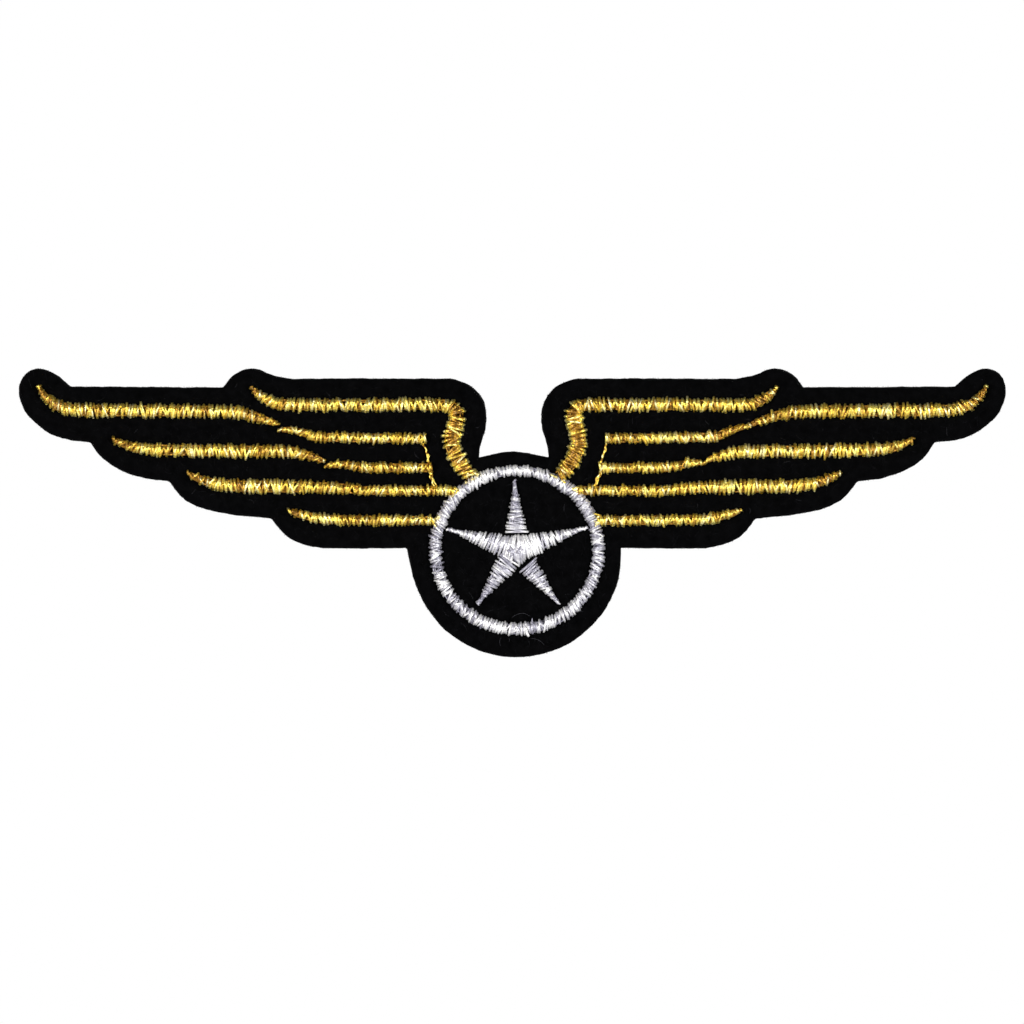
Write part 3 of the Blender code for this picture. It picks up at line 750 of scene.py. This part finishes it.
def make_star_centre(materials):
    """The middle is a fan of satin from its top edge, split left and right, with a knot of short stitches."""
    rng = random.Random(77)
    batch = ThreadBatch()
    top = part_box("star_centre")[1][2] / MM - 0.12
    fans = (
        ((-1.5, -0.1), (-2.35, 0.35), (-0.75, -2.15), 11),
        ((0.1, 1.55), (0.35, -1.95), (2.2, 0.15), 11),
    )
    for (start_left, start_right), end_first, end_last, count in fans:
        for i in range(count):
            t = i / (count - 1)
            x = start_left + (start_right - start_left) * t
            start = (x, top - 0.25 * abs(x))
            end = [first + (last - first) * t for first, last in zip(end_first, end_last)]
            centre_stitch(batch, rng, start, end, rng.uniform(1.1, 1.3), rng.uniform(0.1, 0.65))
    for i in range(12):
        x = -0.75 + 1.5 * (i / 11)
        start = (x, 0.9 - 0.3 * abs(x))
        end = (x * 0.8 + 0.25, -1.5 + 0.5 * abs(x))
        centre_stitch(batch, rng, start, end, rng.uniform(1.3, 1.5), rng.uniform(0.0, 0.45))
    for _ in range(6):
        angle = rng.uniform(0.0, math.pi)
        half = rng.uniform(0.25, 0.4)
        cx, cz = rng.gauss(-0.2, 0.5), rng.gauss(0.0, 0.5)
        dx, dz = math.cos(angle) * half, math.sin(angle) * half
        start = (cx - dx, cz - dz)
        end = (cx + dx, cz + dz)
        centre_stitch(batch, rng, start, end, rng.uniform(1.7, 2.0), rng.uniform(0.0, 0.2), 0.02)
    batch.add_piece("star_centre_stitches", materials["silver"], "star_centre")


# ---------------------------------------------------------------- felt

def layer_outline(node):
    """The ordered outline of a flat layer of the frame, from the open edges of its front face."""
    obj = frame["nodes"][node]
    mesh = obj.data
    points = [obj.matrix_world @ v.co for v in mesh.vertices]
    front = min(p.y for p in points)
    after = {}
    edges = {}
    for face in mesh.polygons:
        if any(points[v].y > front + 0.01 * MM for v in face.vertices):
            continue
        ring = [(round(points[v].x, 6), round(points[v].z, 6)) for v in face.vertices]
        for a, b in zip(ring, ring[1:] + ring[:1]):
            edges[(a, b)] = True
    for a, b in edges:
        if (b, a) not in edges:
            after[a] = b
    start = next(iter(after))
    loop = [start]
    while after[loop[-1]] != start:
        loop.append(after[loop[-1]])
    return np.array(loop)


def resample_closed(points, step):
    ring = np.vstack([points, points[:1]])
    along = lengths_along(ring)
    return read_off(ring, along, np.linspace(0.0, along[-1], int(along[-1] / step), endpoint=False))


def signed_area(points):
    """The area inside a closed outline, negative where it runs clockwise."""
    after = np.roll(points, -1, axis=0)
    return np.sum(points[:, 0] * after[:, 1] - after[:, 0] * points[:, 1]) / 2


def outward(points):
    """Unit normals of a closed outline, pointing out of it."""
    tangent = np.roll(points, -1, axis=0) - np.roll(points, 1, axis=0)
    normal = np.column_stack([tangent[:, 1], -tangent[:, 0]])
    for _ in range(2):
        normal = normal + np.roll(normal, 1, axis=0) + np.roll(normal, -1, axis=0)
    normal /= np.linalg.norm(normal, axis=1)[:, None]
    return normal if signed_area(points) > 0 else -normal


def inside(points, outline):
    """Which of the points lie inside the closed outline, by crossing number."""
    x0, z0 = outline[:, 0], outline[:, 1]
    x1, z1 = np.roll(x0, -1), np.roll(z0, -1)
    result = np.zeros(len(points), bool)
    for start in range(0, len(points), 2000):
        px = points[start:start + 2000, 0][:, None]
        pz = points[start:start + 2000, 1][:, None]
        spans = (z0 > pz) != (z1 > pz)
        with np.errstate(divide="ignore", invalid="ignore"):
            cross = px < (x1 - x0) * (pz - z0) / (z1 - z0) + x0
        result[start:start + 2000] = (np.sum(spans & cross, axis=1) % 2) == 1
    return result


def fill_outline(outline, step, seed):
    """Triangles inside an outline with a jittered grid of inner points. The outline's points come first."""
    rng = np.random.default_rng(seed)
    low, high = outline.min(axis=0), outline.max(axis=0)
    rows = []
    height = step * math.sqrt(3) / 2
    for j, z in enumerate(np.arange(low[1], high[1], height)):
        x = np.arange(low[0] + (step / 2 if j % 2 else 0.0), high[0], step)
        rows.append(np.column_stack([x, np.full(len(x), z)]))
    grid = np.vstack(rows)
    grid += rng.uniform(-0.12, 0.12, grid.shape) * step
    grid = grid[inside(grid, outline)]
    tree = planar_tree(outline)
    grid = grid[[tree.find((x, z, 0.0))[2] > 0.6 * step for x, z in grid]]
    points = [Vector((x * 1000, z * 1000)) for x, z in np.vstack([outline, grid])]
    ring = list(range(len(outline)))
    made = geometry.delaunay_2d_cdt(points, [], [ring], 1, 1e-6)
    placed = [(v.x / 1000, v.y / 1000) for v in made[0]]
    where = {}
    for new, olds in enumerate(made[3]):
        for old in olds:
            where[old] = new
    return np.array(placed), [tuple(f) for f in made[2]], [where[i] for i in ring]


class Pucker:
    """How far the stitching pulls the felt in: full under the stitches, fading beside them."""

    def __init__(self, spines):
        rows = np.vstack([spine.rows[::PUCKER_EVERY] for spine in spines])
        self.widths = rows[:, 2]
        self.tree = planar_tree(rows[:, :2])

    def at(self, x, z):
        _, index, distance = self.tree.find((x, z, 0.0))
        beside = max(0.0, distance - self.widths[index] / 2)
        return PUCKER_DEPTH * math.exp(-(beside / PUCKER_REACH) ** 2)


def felt_layer(name, node, material, front, rear, pucker, lip_front, lip_rear, seed):
    """A felt layer: a dense front and back with a soft, slightly uneven cut edge.

    pucker, if given, says how far a front point is pulled in; the lips say how far each face turns towards
    its neighbour at the edge, where the layers are pressed together."""
    rim = resample_closed(layer_outline(node), OUTLINE_STEP)
    rng = np.random.default_rng(seed)
    normals = outward(rim)
    wobble = np.convolve(np.tile(rng.normal(0.0, 0.05 * MM, len(rim)), 3), np.ones(5) / 5, "same")
    wobble = wobble[len(rim):2 * len(rim)]
    cap_rim = rim - normals * EDGE_ROUND
    placed, triangles, ring = fill_outline(cap_rim, GRID_STEP, seed)
    verts = []
    for x, z in placed:
        broad = 0.07 * MM * noise.noise((x * 140, z * 140, seed))
        ripple = broad + 0.035 * MM * noise.noise((x * 1500, z * 1500, seed))
        pulled_in = pucker.at(x, z) if pucker else 0.0
        verts.append((x, front + pulled_in + ripple, z))
    rear_start = len(verts)
    for x, z in placed:
        ripple = 0.03 * MM * noise.noise((x * 900, z * 900, seed + 9))
        verts.append((x, rear + ripple, z))
    faces = list(triangles)
    faces += [tuple(rear_start + v for v in reversed(face)) for face in triangles]
    loops = [ring]
    top = front + lip_front
    bottom = rear + lip_rear
    for reach, level in EDGE_PROFILE:
        begin = len(verts)
        for i, (x, z) in enumerate(rim):
            nx, nz = normals[i]
            out = -EDGE_ROUND * (1.0 - reach) + wobble[i] * reach
            px, pz = x + nx * out, z + nz * out
            fuzz = 0.03 * MM * noise.noise((px * 2200, pz * 2200, level * 9 + seed))
            verts.append((px + nx * fuzz, top + (bottom - top) * level, pz + nz * fuzz))
        loops.append(list(range(begin, begin + len(rim))))
    loops.append([rear_start + v for v in ring])
    for upper, lower in zip(loops, loops[1:]):
        faces += bridge(upper, lower)
    mesh = closed_mesh(name, verts, faces)
    mesh.shade_smooth()
    obj = add_object(name, mesh, material, "badge", [node])
    return obj, rim, normals


def make_felts(materials, pucker):
    front, rim, normals = felt_layer("front_felt_sheet", "front_felt", materials["felt"],
                                     FELT_FRONT, FELT_REAR, pucker, 0.0, LIP, 3)
    backing, _, _ = felt_layer("backing_felt_sheet", "backing_felt", materials["backing"],
                               backing_low[1], backing_high[1], None, -LIP, 0.0, 5)
    return rim, normals


def make_stabiliser(materials):
    """The pale stiffening cloth between the felts."""
    rim = resample_closed(layer_outline("stabiliser"), STABILISER_OUTLINE_STEP)
    placed, triangles, ring = fill_outline(rim, STABILISER_GRID_STEP, 12)
    front, rear = stabiliser_low[1], stabiliser_high[1]
    verts = [(x, front, z) for x, z in placed] + [(x, rear, z) for x, z in placed]
    shift = len(placed)
    faces = list(triangles) + [tuple(shift + v for v in reversed(face)) for face in triangles]
    faces += bridge(ring, [shift + v for v in ring])
    mesh = closed_mesh("stabiliser_sheet", verts, faces)
    obj = add_object("stabiliser_sheet", mesh, materials["stabiliser"], "badge",
                     ["stabiliser"])


class FibreBatch:
    """Fine curled fibres: three-sided tubes that taper to a point at each end."""

    def __init__(self):
        self.verts = []
        self.faces = []

    def add(self, path, radius):
        start = len(self.verts)
        rings = len(path) - 2
        self.verts.append(tuple(path[0]))
        for i in range(1, len(path) - 1):
            tangent = (path[i + 1] - path[i - 1]).normalized()
            side = tangent.cross(Vector((0.31, 0.77, 0.55))).normalized()
            lift = tangent.cross(side)
            for k in range(3):
                angle = 2 * math.pi * k / 3
                self.verts.append(tuple(path[i] + (side * math.cos(angle) + lift * math.sin(angle)) * radius))
        self.verts.append(tuple(path[-1]))
        last = start + 1 + 3 * rings
        for k in range(3):
            n = (k + 1) % 3
            self.faces.append((start, start + 1 + n, start + 1 + k))
            for r in range(rings - 1):
                a = start + 1 + 3 * r
                self.faces.append((a + k, a + n, a + 3 + n, a + 3 + k))
            tail = last - 3
            self.faces.append((tail + k, tail + n, last))

    def mesh(self, name):
        made = closed_mesh(name, self.verts, self.faces)
        made.shade_smooth()
        return made


def curl(rng, root, direction, normal, length, bend, steps=5):
    """A curled fibre path from a root."""
    path = [Vector(root)]
    heading = Vector(direction).normalized()
    swing = Vector((rng.gauss(0, 1), rng.gauss(0, 0.4), rng.gauss(0, 1))) * bend
    for _ in range(steps):
        heading = (heading + swing * 0.35 + Vector(normal) * rng.uniform(-0.15, 0.12)).normalized()
        path.append(path[-1] + heading * (length / steps))
    return path


def make_naps(materials, rng, rim, pucker):
    """Flat curled fibres over both faces of the badge."""
    low, high = rim.min(axis=0), rim.max(axis=0)
    edge = planar_tree(rim)
    for name, level, facing, count, finish in NAPS:
        batch = FibreBatch()
        tries = np.column_stack([
            [rng.uniform(low[0], high[0]) for _ in range(3 * count)],
            [rng.uniform(low[1], high[1]) for _ in range(3 * count)],
        ])
        tries = tries[inside(tries, rim * 0.985 + rim.mean(axis=0) * 0.015)][:count]
        for x, z in tries:
            if edge.find((x, z, 0.0))[2] < NAP_INSET:
                continue
            sunk = 0.0
            if facing < 0.0:
                sunk = pucker.at(x, z)
                if sunk > 0.7 * PUCKER_DEPTH:
                    continue
            angle = rng.uniform(0.0, 2 * math.pi)
            direction = (math.cos(angle), facing * rng.uniform(0.0, 0.2), math.sin(angle))
            root = (x, level + facing * 0.012 * MM - facing * sunk, z)
            normal = (0.0, facing, 0.0)
            path = curl(rng, root, direction, normal, rng.uniform(0.5, 1.5) * MM, rng.uniform(0.3, 1.1))
            batch.add(path, rng.uniform(0.007, 0.012) * MM)
        add_object(name, batch.mesh(name), materials[finish], "badge")


def make_edge_nap(materials, rng, rim, normals):
    """Short fibre ends along the cut edge."""
    batch = FibreBatch()
    for _ in range(EDGE_FIBRES):
        k = rng.randrange(len(rim))
        nx, nz = normals[k]
        t = rng.uniform(0.0, 1.0)
        level = FELT_FRONT + 0.15 * MM + (backing_high[1] - FELT_FRONT - 0.3 * MM) * t
        root = (rim[k][0] - nx * 0.05 * MM, level, rim[k][1] - nz * 0.05 * MM)
        direction = (nx + rng.gauss(0, 0.6), rng.gauss(0, 0.5), nz + rng.gauss(0, 0.6))
        path = curl(rng, root, direction, (nx * 0.5, 0.0, nz * 0.5), rng.uniform(0.08, 0.24) * MM, 0.8, 4)
        batch.add(path, rng.uniform(0.008, 0.013) * MM)
    add_object("edge_nap", batch.mesh("edge_nap"), materials["fibre"], "badge")


# Routes in millimetres of the longest fibres that lie loose on the disc, round the ring's foot.
LONG_FIBRES = (
    ((-0.6, -7.95), (0.1, -7.5), (0.9, -7.4), (1.7, -7.75)),
    ((-1.75, -10.2), (-1.95, -10.6), (-1.9, -11.0), (-1.8, -11.25)),
    ((1.6, -10.3), (2.3, -10.4), (2.9, -10.7), (3.35, -11.15)),
    ((-0.85, -10.2), (-0.8, -10.6), (-0.9, -10.8)),
)


def make_long_fibres(materials):
    batch = FibreBatch()
    for points in LONG_FIBRES:
        curve = smooth_points([(x * MM, z * MM) for x, z in points], 0.15 * MM)
        lift = 0.06 * MM * np.sin(np.linspace(0.2, 2.9, len(curve)))
        path = [Vector((x, FELT_FRONT - 0.02 * MM - up, z)) for (x, z), up in zip(curve, lift)]
        batch.add(path, 0.02 * MM)
    mesh = batch.mesh("front_long_fibres")
    add_object("front_long_fibres", mesh, materials["pale_fibre"], "badge")


# ---------------------------------------------------------------- bar pin

def pressed(name, loops, half, bevel, place, resolution=2):
    """A plate drawn flat in XY: closed loops filled both sides, with rounded edges, moved into place."""
    data = bpy.data.curves.new(name, "CURVE")
    data.dimensions = "2D"
    data.fill_mode = "BOTH"
    data.extrude = half - bevel
    data.bevel_depth = bevel
    data.bevel_resolution = resolution
    data.offset = -bevel
    for loop in loops:
        spline = data.splines.new("POLY")
        spline.points.add(len(loop) - 1)
        spline.use_cyclic_u = True
        for point, (x, y) in zip(spline.points, loop):
            point.co = (x, y, 0.0, 1.0)
    holder = bpy.data.objects.new("holder", data)
    bpy.context.scene.collection.objects.link(holder)
    bpy.context.view_layer.update()
    mesh = bpy.data.meshes.new_from_object(holder.evaluated_get(bpy.context.evaluated_depsgraph_get()))
    bpy.data.objects.remove(holder)
    bpy.data.curves.remove(data)
    mesh.transform(place)
    turn_outwards(mesh, WELD)
    return mesh


def arc(cx, cy, radius, start, end, steps):
    """Points along a circle, from one angle to another in degrees."""
    angles = [math.radians(start + (end - start) * i / steps) for i in range(steps + 1)]
    return [(cx + radius * math.cos(angle), cy + radius * math.sin(angle)) for angle in angles]


def rounded_box(x0, y0, x1, y1, radius, steps=6):
    left, right = x0 + radius, x1 - radius
    low, high = y0 + radius, y1 - radius
    points = []
    for number, (x, y) in enumerate(((right, high), (left, high), (left, low), (right, low))):
        points += arc(x, y, radius, 90 * number, 90 * (number + 1), steps)
    return points


def union(meshes, name):
    """One solid from several overlapping ones."""
    base = bpy.data.objects.new(name, meshes[0])
    bpy.context.scene.collection.objects.link(base)
    tools = []
    for i, mesh in enumerate(meshes[1:]):
        tool = bpy.data.objects.new(f"{name}_tool_{i}", mesh)
        bpy.context.scene.collection.objects.link(tool)
        modifier = base.modifiers.new(f"join {i}", "BOOLEAN")
        modifier.operation = "UNION"
        modifier.solver = "EXACT"
        modifier.object = tool
        tools.append(tool)
    bpy.context.view_layer.update()
    result = bpy.data.meshes.new_from_object(base.evaluated_get(bpy.context.evaluated_depsgraph_get()))
    for thing in [base, *tools]:
        bpy.data.objects.remove(thing)
    result.name = name
    return result


def metal_piece(name, mesh, material, body, nodes):
    mesh.shade_smooth()
    mesh.set_sharp_from_angle(angle=math.radians(SHARP_DEG))
    add_object(name, mesh, material, body, nodes)


def turned(name, profile, axis_matrix, segments=40):
    """A turned solid: a profile of (along, radius) pairs that starts and ends on the axis."""
    verts = []
    faces = []
    rings = []
    for along, radius in profile:
        if radius <= 0.0:
            verts.append((along, 0.0, 0.0))
            rings.append([len(verts) - 1])
            continue
        begin = len(verts)
        for k in range(segments):
            angle = 2 * math.pi * k / segments
            verts.append((along, radius * math.cos(angle), radius * math.sin(angle)))
        rings.append(list(range(begin, begin + segments)))
    for first, second in zip(rings, rings[1:]):
        if len(first) == 1:
            faces += [(first[0], a, b) for a, b in zip(second, second[1:] + second[:1])]
        elif len(second) == 1:
            faces += [(a, b, second[0]) for a, b in zip(first, first[1:] + first[:1])]
        else:
            faces += bridge(first, second)
    mesh = closed_mesh(name, verts, faces)
    mesh.transform(axis_matrix)
    return mesh


# Turns for a flat drawing: drawn (x, y) becomes (X, Z), (X, Y) or (-Z, Y) of the badge.
FACE_ON = Matrix(((1, 0, 0, 0), (0, 0, -1, 0), (0, 1, 0, 0), (0, 0, 0, 1)))
FROM_ABOVE = Matrix.Identity(4)
END_ON = Matrix(((0, 0, 1, 0), (0, 1, 0, 0), (-1, 0, 0, 0), (0, 0, 0, 1)))

# A turn for a turned solid: its axis, drawn along X, becomes Z.
ALONG_Z = Matrix(((0, 0, -1, 0), (0, 1, 0, 0), (1, 0, 0, 0), (0, 0, 0, 1)))


def joint_place(name):
    joint = next(j for j in frame["joints"] if j["name"] == name)
    return Vector(joint["pos_m"])


def make_plate(materials):
    low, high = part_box("pin_plate")
    middle = (low[2] + high[2]) / 2
    outer = rounded_box(low[0], low[2], high[0], high[2], 1.6 * MM, 8)
    loops = [outer] + [arc(x * MM, middle, 0.9 * MM, 0, FULL_HOLE, 47) for x in (-8.0, 0.0, 8.0)]
    place = Matrix.Translation((0.0, (low[1] + high[1]) / 2, 0.0)) @ FACE_ON
    mesh = pressed("plate", loops, (high[1] - low[1]) / 2, 0.14 * MM, place, 3)
    metal_piece("pin_plate_pressed", mesh, materials["metal"], "badge", ["pin_plate"])


def make_bracket(materials):
    """A folded U: a floor on the plate and two ears with rounded tops and a hole for the rivet."""
    low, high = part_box("hinge_bracket")
    pivot = joint_place("needle_hinge")
    thin = SHEET_THICKNESS / 2
    half = (high[0] - low[0]) / 2
    ear = [(pivot.x - half, low[1]), (pivot.x + half, low[1])] + arc(pivot.x, pivot.y, half, 0, 180, 20)
    hole = arc(pivot.x, pivot.y, PIVOT_HOLE_RADIUS, 0, FULL_HOLE, 31)
    meshes = []
    for level in (low[2] + thin, high[2] - thin):
        place = Matrix.Translation((0.0, 0.0, level)) @ FROM_ABOVE
        meshes.append(pressed("ear", [ear, hole], thin, 0.07 * MM, place))
    floor = rounded_box(low[0], low[2], high[0], high[2], 0.3 * MM)
    place = Matrix.Translation((0.0, low[1] + thin, 0.0)) @ FACE_ON
    meshes.append(pressed("floor", [floor], thin, 0.07 * MM, place))
    mesh = union(meshes, "hinge_bracket_folded")
    metal_piece("hinge_bracket_folded", mesh, materials["metal"], "badge", ["hinge_bracket"])


def make_rivet(materials):
    low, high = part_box("hinge_rivet")
    pivot = joint_place("needle_hinge")
    head = (high[0] - low[0]) / 2
    shank = 0.5 * MM
    tall = 0.35 * MM
    bottom, top = low[2], high[2]
    dome = [(math.sin(math.radians(a)), math.cos(math.radians(a))) for a in range(0, 91, 15)]
    lower = [(bottom + tall - tall * rise, head * reach) for reach, rise in dome]
    upper = [(top - tall + tall * rise, head * reach) for reach, rise in reversed(dome)]
    profile = lower + [(bottom + tall, shank), (top - tall, shank)] + upper
    profile[0] = (bottom, 0.0)
    profile[-1] = (top, 0.0)
    mesh = turned("rivet", profile, Matrix.Translation((pivot.x, pivot.y, 0.0)) @ ALONG_Z)
    metal_piece("hinge_rivet_domed", mesh, materials["metal"], "badge", ["hinge_rivet"])


def make_needle(materials):
    """The needle: a pressed eye that flows into the wire, and a long ground point."""
    low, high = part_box("needle")
    pivot = joint_place("needle_hinge")
    wire = 0.4 * MM
    eye_outer = pivot.x - low[0]
    eye_half = (high[2] - low[2]) / 2
    outer = arc(pivot.x, pivot.y, eye_outer, 22, 338, 40)
    neck = [(pivot.x + 2.0 * MM, pivot.y - wire * 0.75), (pivot.x + 2.9 * MM, pivot.y - wire * 0.6),
            (pivot.x + 2.9 * MM, pivot.y + wire * 0.6), (pivot.x + 2.0 * MM, pivot.y + wire * 0.75)]
    hole = arc(pivot.x, pivot.y, PIVOT_HOLE_RADIUS, 0, FULL_HOLE, 39)
    place = Matrix.Translation((0.0, 0.0, pivot.z)) @ FROM_ABOVE
    eye = pressed("eye", [outer + neck, hole], eye_half * 0.8, 0.12 * MM, place, 3)
    tip = high[0] - pivot.x
    point = 4.0 * MM
    profile = [(1.5 * MM, 0.0), (1.5 * MM, wire * 0.9), (2.2 * MM, wire * 1.12), (3.2 * MM, wire),
               (tip - point, wire)]
    for t in (0.2, 0.4, 0.6, 0.8, 0.93):
        profile.append((tip - point * (1.0 - t), wire * (1.0 - t ** 1.6)))
    profile.append((tip, 0.0))
    stem = turned("stem", profile, Matrix.Translation(pivot), 24)
    mesh = union([eye, stem], "needle_wire")
    metal_piece("needle_wire", mesh, materials["metal"], "pin_needle", ["needle"])


def c_section(centre, outer, inner):
    """A ring drawn as (-z, y) with the catch's mouth towards +y."""
    half_out = math.degrees(math.asin(CATCH_MOUTH / 2 / outer))
    half_in = math.degrees(math.asin(CATCH_MOUTH / 2 / inner))
    outside = arc(centre[0], centre[1], outer, 90 + half_out, 450 - half_out, 30)
    return outside + arc(centre[0], centre[1], inner, 450 - half_in, 90 + half_in, 30)


def catch_radii():
    """The outer and the inner radius of the catch's housing."""
    low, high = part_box("catch_housing")
    outer = (high[2] - low[2]) / 2
    return outer, outer - CATCH_WALL


def make_catch_housing(materials):
    """A strip curled round the barrel, on two feet."""
    pivot = joint_place("catch_turn")
    low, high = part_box("catch_housing")
    half = (high[0] - low[0]) / 2
    outer, inner = catch_radii()
    place = Matrix.Translation((pivot.x, 0.0, 0.0)) @ END_ON
    x, y = -pivot.z, low[1]
    curled = pressed("housing", [c_section((x, pivot.y), outer, inner)], half, 0.09 * MM, place)
    foot_top = pivot.y - inner - 0.1 * MM
    foot = [(x - 1.9 * MM, y), (x + 1.9 * MM, y), (x + 1.9 * MM, y + 0.4 * MM),
            (x + 1.0 * MM, y + 0.5 * MM), (x + 0.8 * MM, foot_top), (x - 0.8 * MM, foot_top),
            (x - 1.0 * MM, y + 0.5 * MM), (x - 1.9 * MM, y + 0.4 * MM)]
    mesh = union([curled, pressed("foot", [foot], half, 0.07 * MM, place)], "catch_housing_curled")
    metal_piece("catch_housing_curled", mesh, materials["metal"], "badge", ["catch_housing"])


def make_catch_barrel(materials):
    """The part that turns: a slotted barrel with a flange at each end and a tab to push."""
    pivot = joint_place("catch_turn")
    low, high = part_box("catch_barrel")
    length = high[0] - low[0]
    housing_outer, housing_inner = catch_radii()
    outer = housing_inner - CATCH_RUNNING_GAP
    inner = outer - BARREL_WALL
    flange = FLANGE_THICKNESS
    centre = (-pivot.z, pivot.y)
    place = Matrix.Translation((pivot.x, 0.0, 0.0)) @ END_ON
    meshes = [pressed("barrel", [c_section(centre, outer, inner)], length / 2, 0.06 * MM, place)]
    tab = [(centre[0] - 1.35 * MM, pivot.y - 0.75 * MM), (centre[0] - 1.35 * MM, pivot.y + 0.75 * MM)]
    tab += arc(-high[2] + 0.6 * MM, pivot.y, 0.6 * MM, 90, 270, 12)
    end = c_section(centre, housing_outer, inner)
    for name, loop, sign in (("flange", end, 1), ("flange", end, -1), ("tab", tab, 1)):
        place = Matrix.Translation((pivot.x + sign * (length - flange) / 2, 0.0, 0.0)) @ END_ON
        meshes.append(pressed(name, [loop], flange / 2, 0.09 * MM, place))
    mesh = union(meshes, "catch_barrel_turned")
    metal_piece("catch_barrel_turned", mesh, materials["metal"], "safety_catch", ["catch_barrel"])


def make_tacks(materials):
    """Each tack is three turns of black thread, laid side by side from the hole over the plate's edge."""
    plate_low, plate_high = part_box("pin_plate")
    middle = (plate_low[2] + plate_high[2]) / 2
    rng = random.Random(41)
    for number in range(1, 7):
        node = f"sewing_tack_{number}"
        low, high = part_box(node)
        sign = 1 if (low[2] + high[2]) / 2 > middle else -1
        centre_x = (low[0] + high[0]) / 2
        inner = (low[2] if sign > 0 else high[2]) + sign * 0.1 * MM
        outer = (high[2] if sign > 0 else low[2]) - sign * 0.05 * MM
        batch = ThreadBatch()
        for strand in (-1, 0, 1):
            x0 = centre_x + strand * 0.24 * MM + rng.gauss(0, 0.03) * MM
            x1 = centre_x + strand * 0.3 * MM + rng.gauss(0, 0.06) * MM
            top = plate_high[1] + 0.13 * MM + 0.04 * MM * rng.random()
            rows = [(x0, -0.05 * MM, inner), (x0, 0.4 * MM, inner), (x0, top, inner + sign * 0.3 * MM),
                    ((x0 + x1) / 2, top + 0.05 * MM, (inner + outer) / 2),
                    (x1, top, outer - sign * 0.35 * MM), (x1, 0.4 * MM, outer),
                    (x1, -0.05 * MM, outer + sign * 0.1 * MM)]
            path = catmull_rom(rows, 0.12 * MM, 3, 2)
            batch.add(path, TACK_THREAD_RADIUS, rng.uniform(0.2, 0.6), rng.uniform(0.0, ANY_PHASE),
                      ply=TACK_PLY_LENGTH)
        batch.add_piece(f"{node}_threads", materials["black_thread"], node)


# ---------------------------------------------------------------- studio

def make_camera():
    """A long lens, level with the badge."""
    data = bpy.data.cameras.new("camera")
    distance = 0.9
    seen_width = 0.11955
    data.sensor_width = 36.0
    data.lens = data.sensor_width * distance / seen_width
    data.clip_start = 0.01
    camera = bpy.data.objects.new("camera", data)
    bpy.context.scene.collection.objects.link(camera)
    camera.location = (-0.0005, FELT_FRONT - distance, 0.00444)
    camera.rotation_euler = (math.radians(90.0), 0.0, 0.0)
    bpy.context.scene.camera = camera


def area_light(name, place, target, size, power, colour=(1.0, 1.0, 1.0)):
    data = bpy.data.lights.new(name, "AREA")
    data.shape = "RECTANGLE"
    data.size, data.size_y = size
    data.energy = power
    data.color = colour
    lamp = bpy.data.objects.new(name, data)
    bpy.context.scene.collection.objects.link(lamp)
    lamp.location = place
    lamp.rotation_euler = (Vector(target) - Vector(place)).to_track_quat("-Z", "Y").to_euler()


def make_world():
    """A white background for the camera and a dim bluish one for the light."""
    scene = bpy.context.scene
    scene.view_settings.view_transform = "Standard"
    world = bpy.data.worlds.new("studio")
    scene.world = world
    world.use_nodes = True
    nodes, links = world.node_tree.nodes, world.node_tree.links
    background = nodes["Background"]
    background.inputs["Color"].default_value = (1.0, 1.0, 1.0, 1.0)
    dim = nodes.new("ShaderNodeBackground")
    dim.inputs["Color"].default_value = (0.9, 0.93, 1.0, 1.0)
    dim.inputs["Strength"].default_value = 0.2
    seen = nodes.new("ShaderNodeLightPath")
    mix = nodes.new("ShaderNodeMixShader")
    links.new(seen.outputs["Is Camera Ray"], mix.inputs["Fac"])
    links.new(dim.outputs["Background"], mix.inputs[1])
    links.new(background.outputs["Background"], mix.inputs[2])
    links.new(mix.outputs["Shader"], nodes["World Output"].inputs["Surface"])


def make_lights():
    middle = (0.0, 0.0, 0.006)
    area_light("key", (-0.5, -0.62, 0.12), middle, (0.26, 0.3), 5.4, (1.0, 0.98, 0.95))
    area_light("side_fill", (0.55, -0.55, 0.05), middle, (0.26, 0.3), 4.4)
    area_light("back_key", (0.35, 0.6, 0.4), middle, (0.3, 0.3), 4.6)
    area_light("back_fill", (-0.5, 0.5, 0.0), middle, (0.3, 0.4), 2.6)


def make_floor():
    bpy.ops.mesh.primitive_circle_add(vertices=96, radius=0.45, fill_type="NGON", location=(0.0, 0.0, -0.1))
    floor = bpy.context.object
    floor.name = "floor"
    floor.data.materials.append(floor_material("pale_floor"))


def main():
    materials = make_materials()
    make_camera()
    make_world()
    make_lights()
    make_floor()
    spines = make_bands(materials)
    make_jump_threads(materials)
    spines.append(make_ring(materials))
    spines += make_star(materials)
    make_stabiliser(materials)
    pucker = Pucker(spines)
    rim, normals = make_felts(materials, pucker)
    rng = random.Random(9)
    make_naps(materials, rng, rim, pucker)
    make_edge_nap(materials, rng, rim, normals)
    make_long_fibres(materials)
    make_plate(materials)
    make_bracket(materials)
    make_rivet(materials)
    make_needle(materials)
    make_catch_housing(materials)
    make_catch_barrel(materials)
    make_tacks(materials)


main()
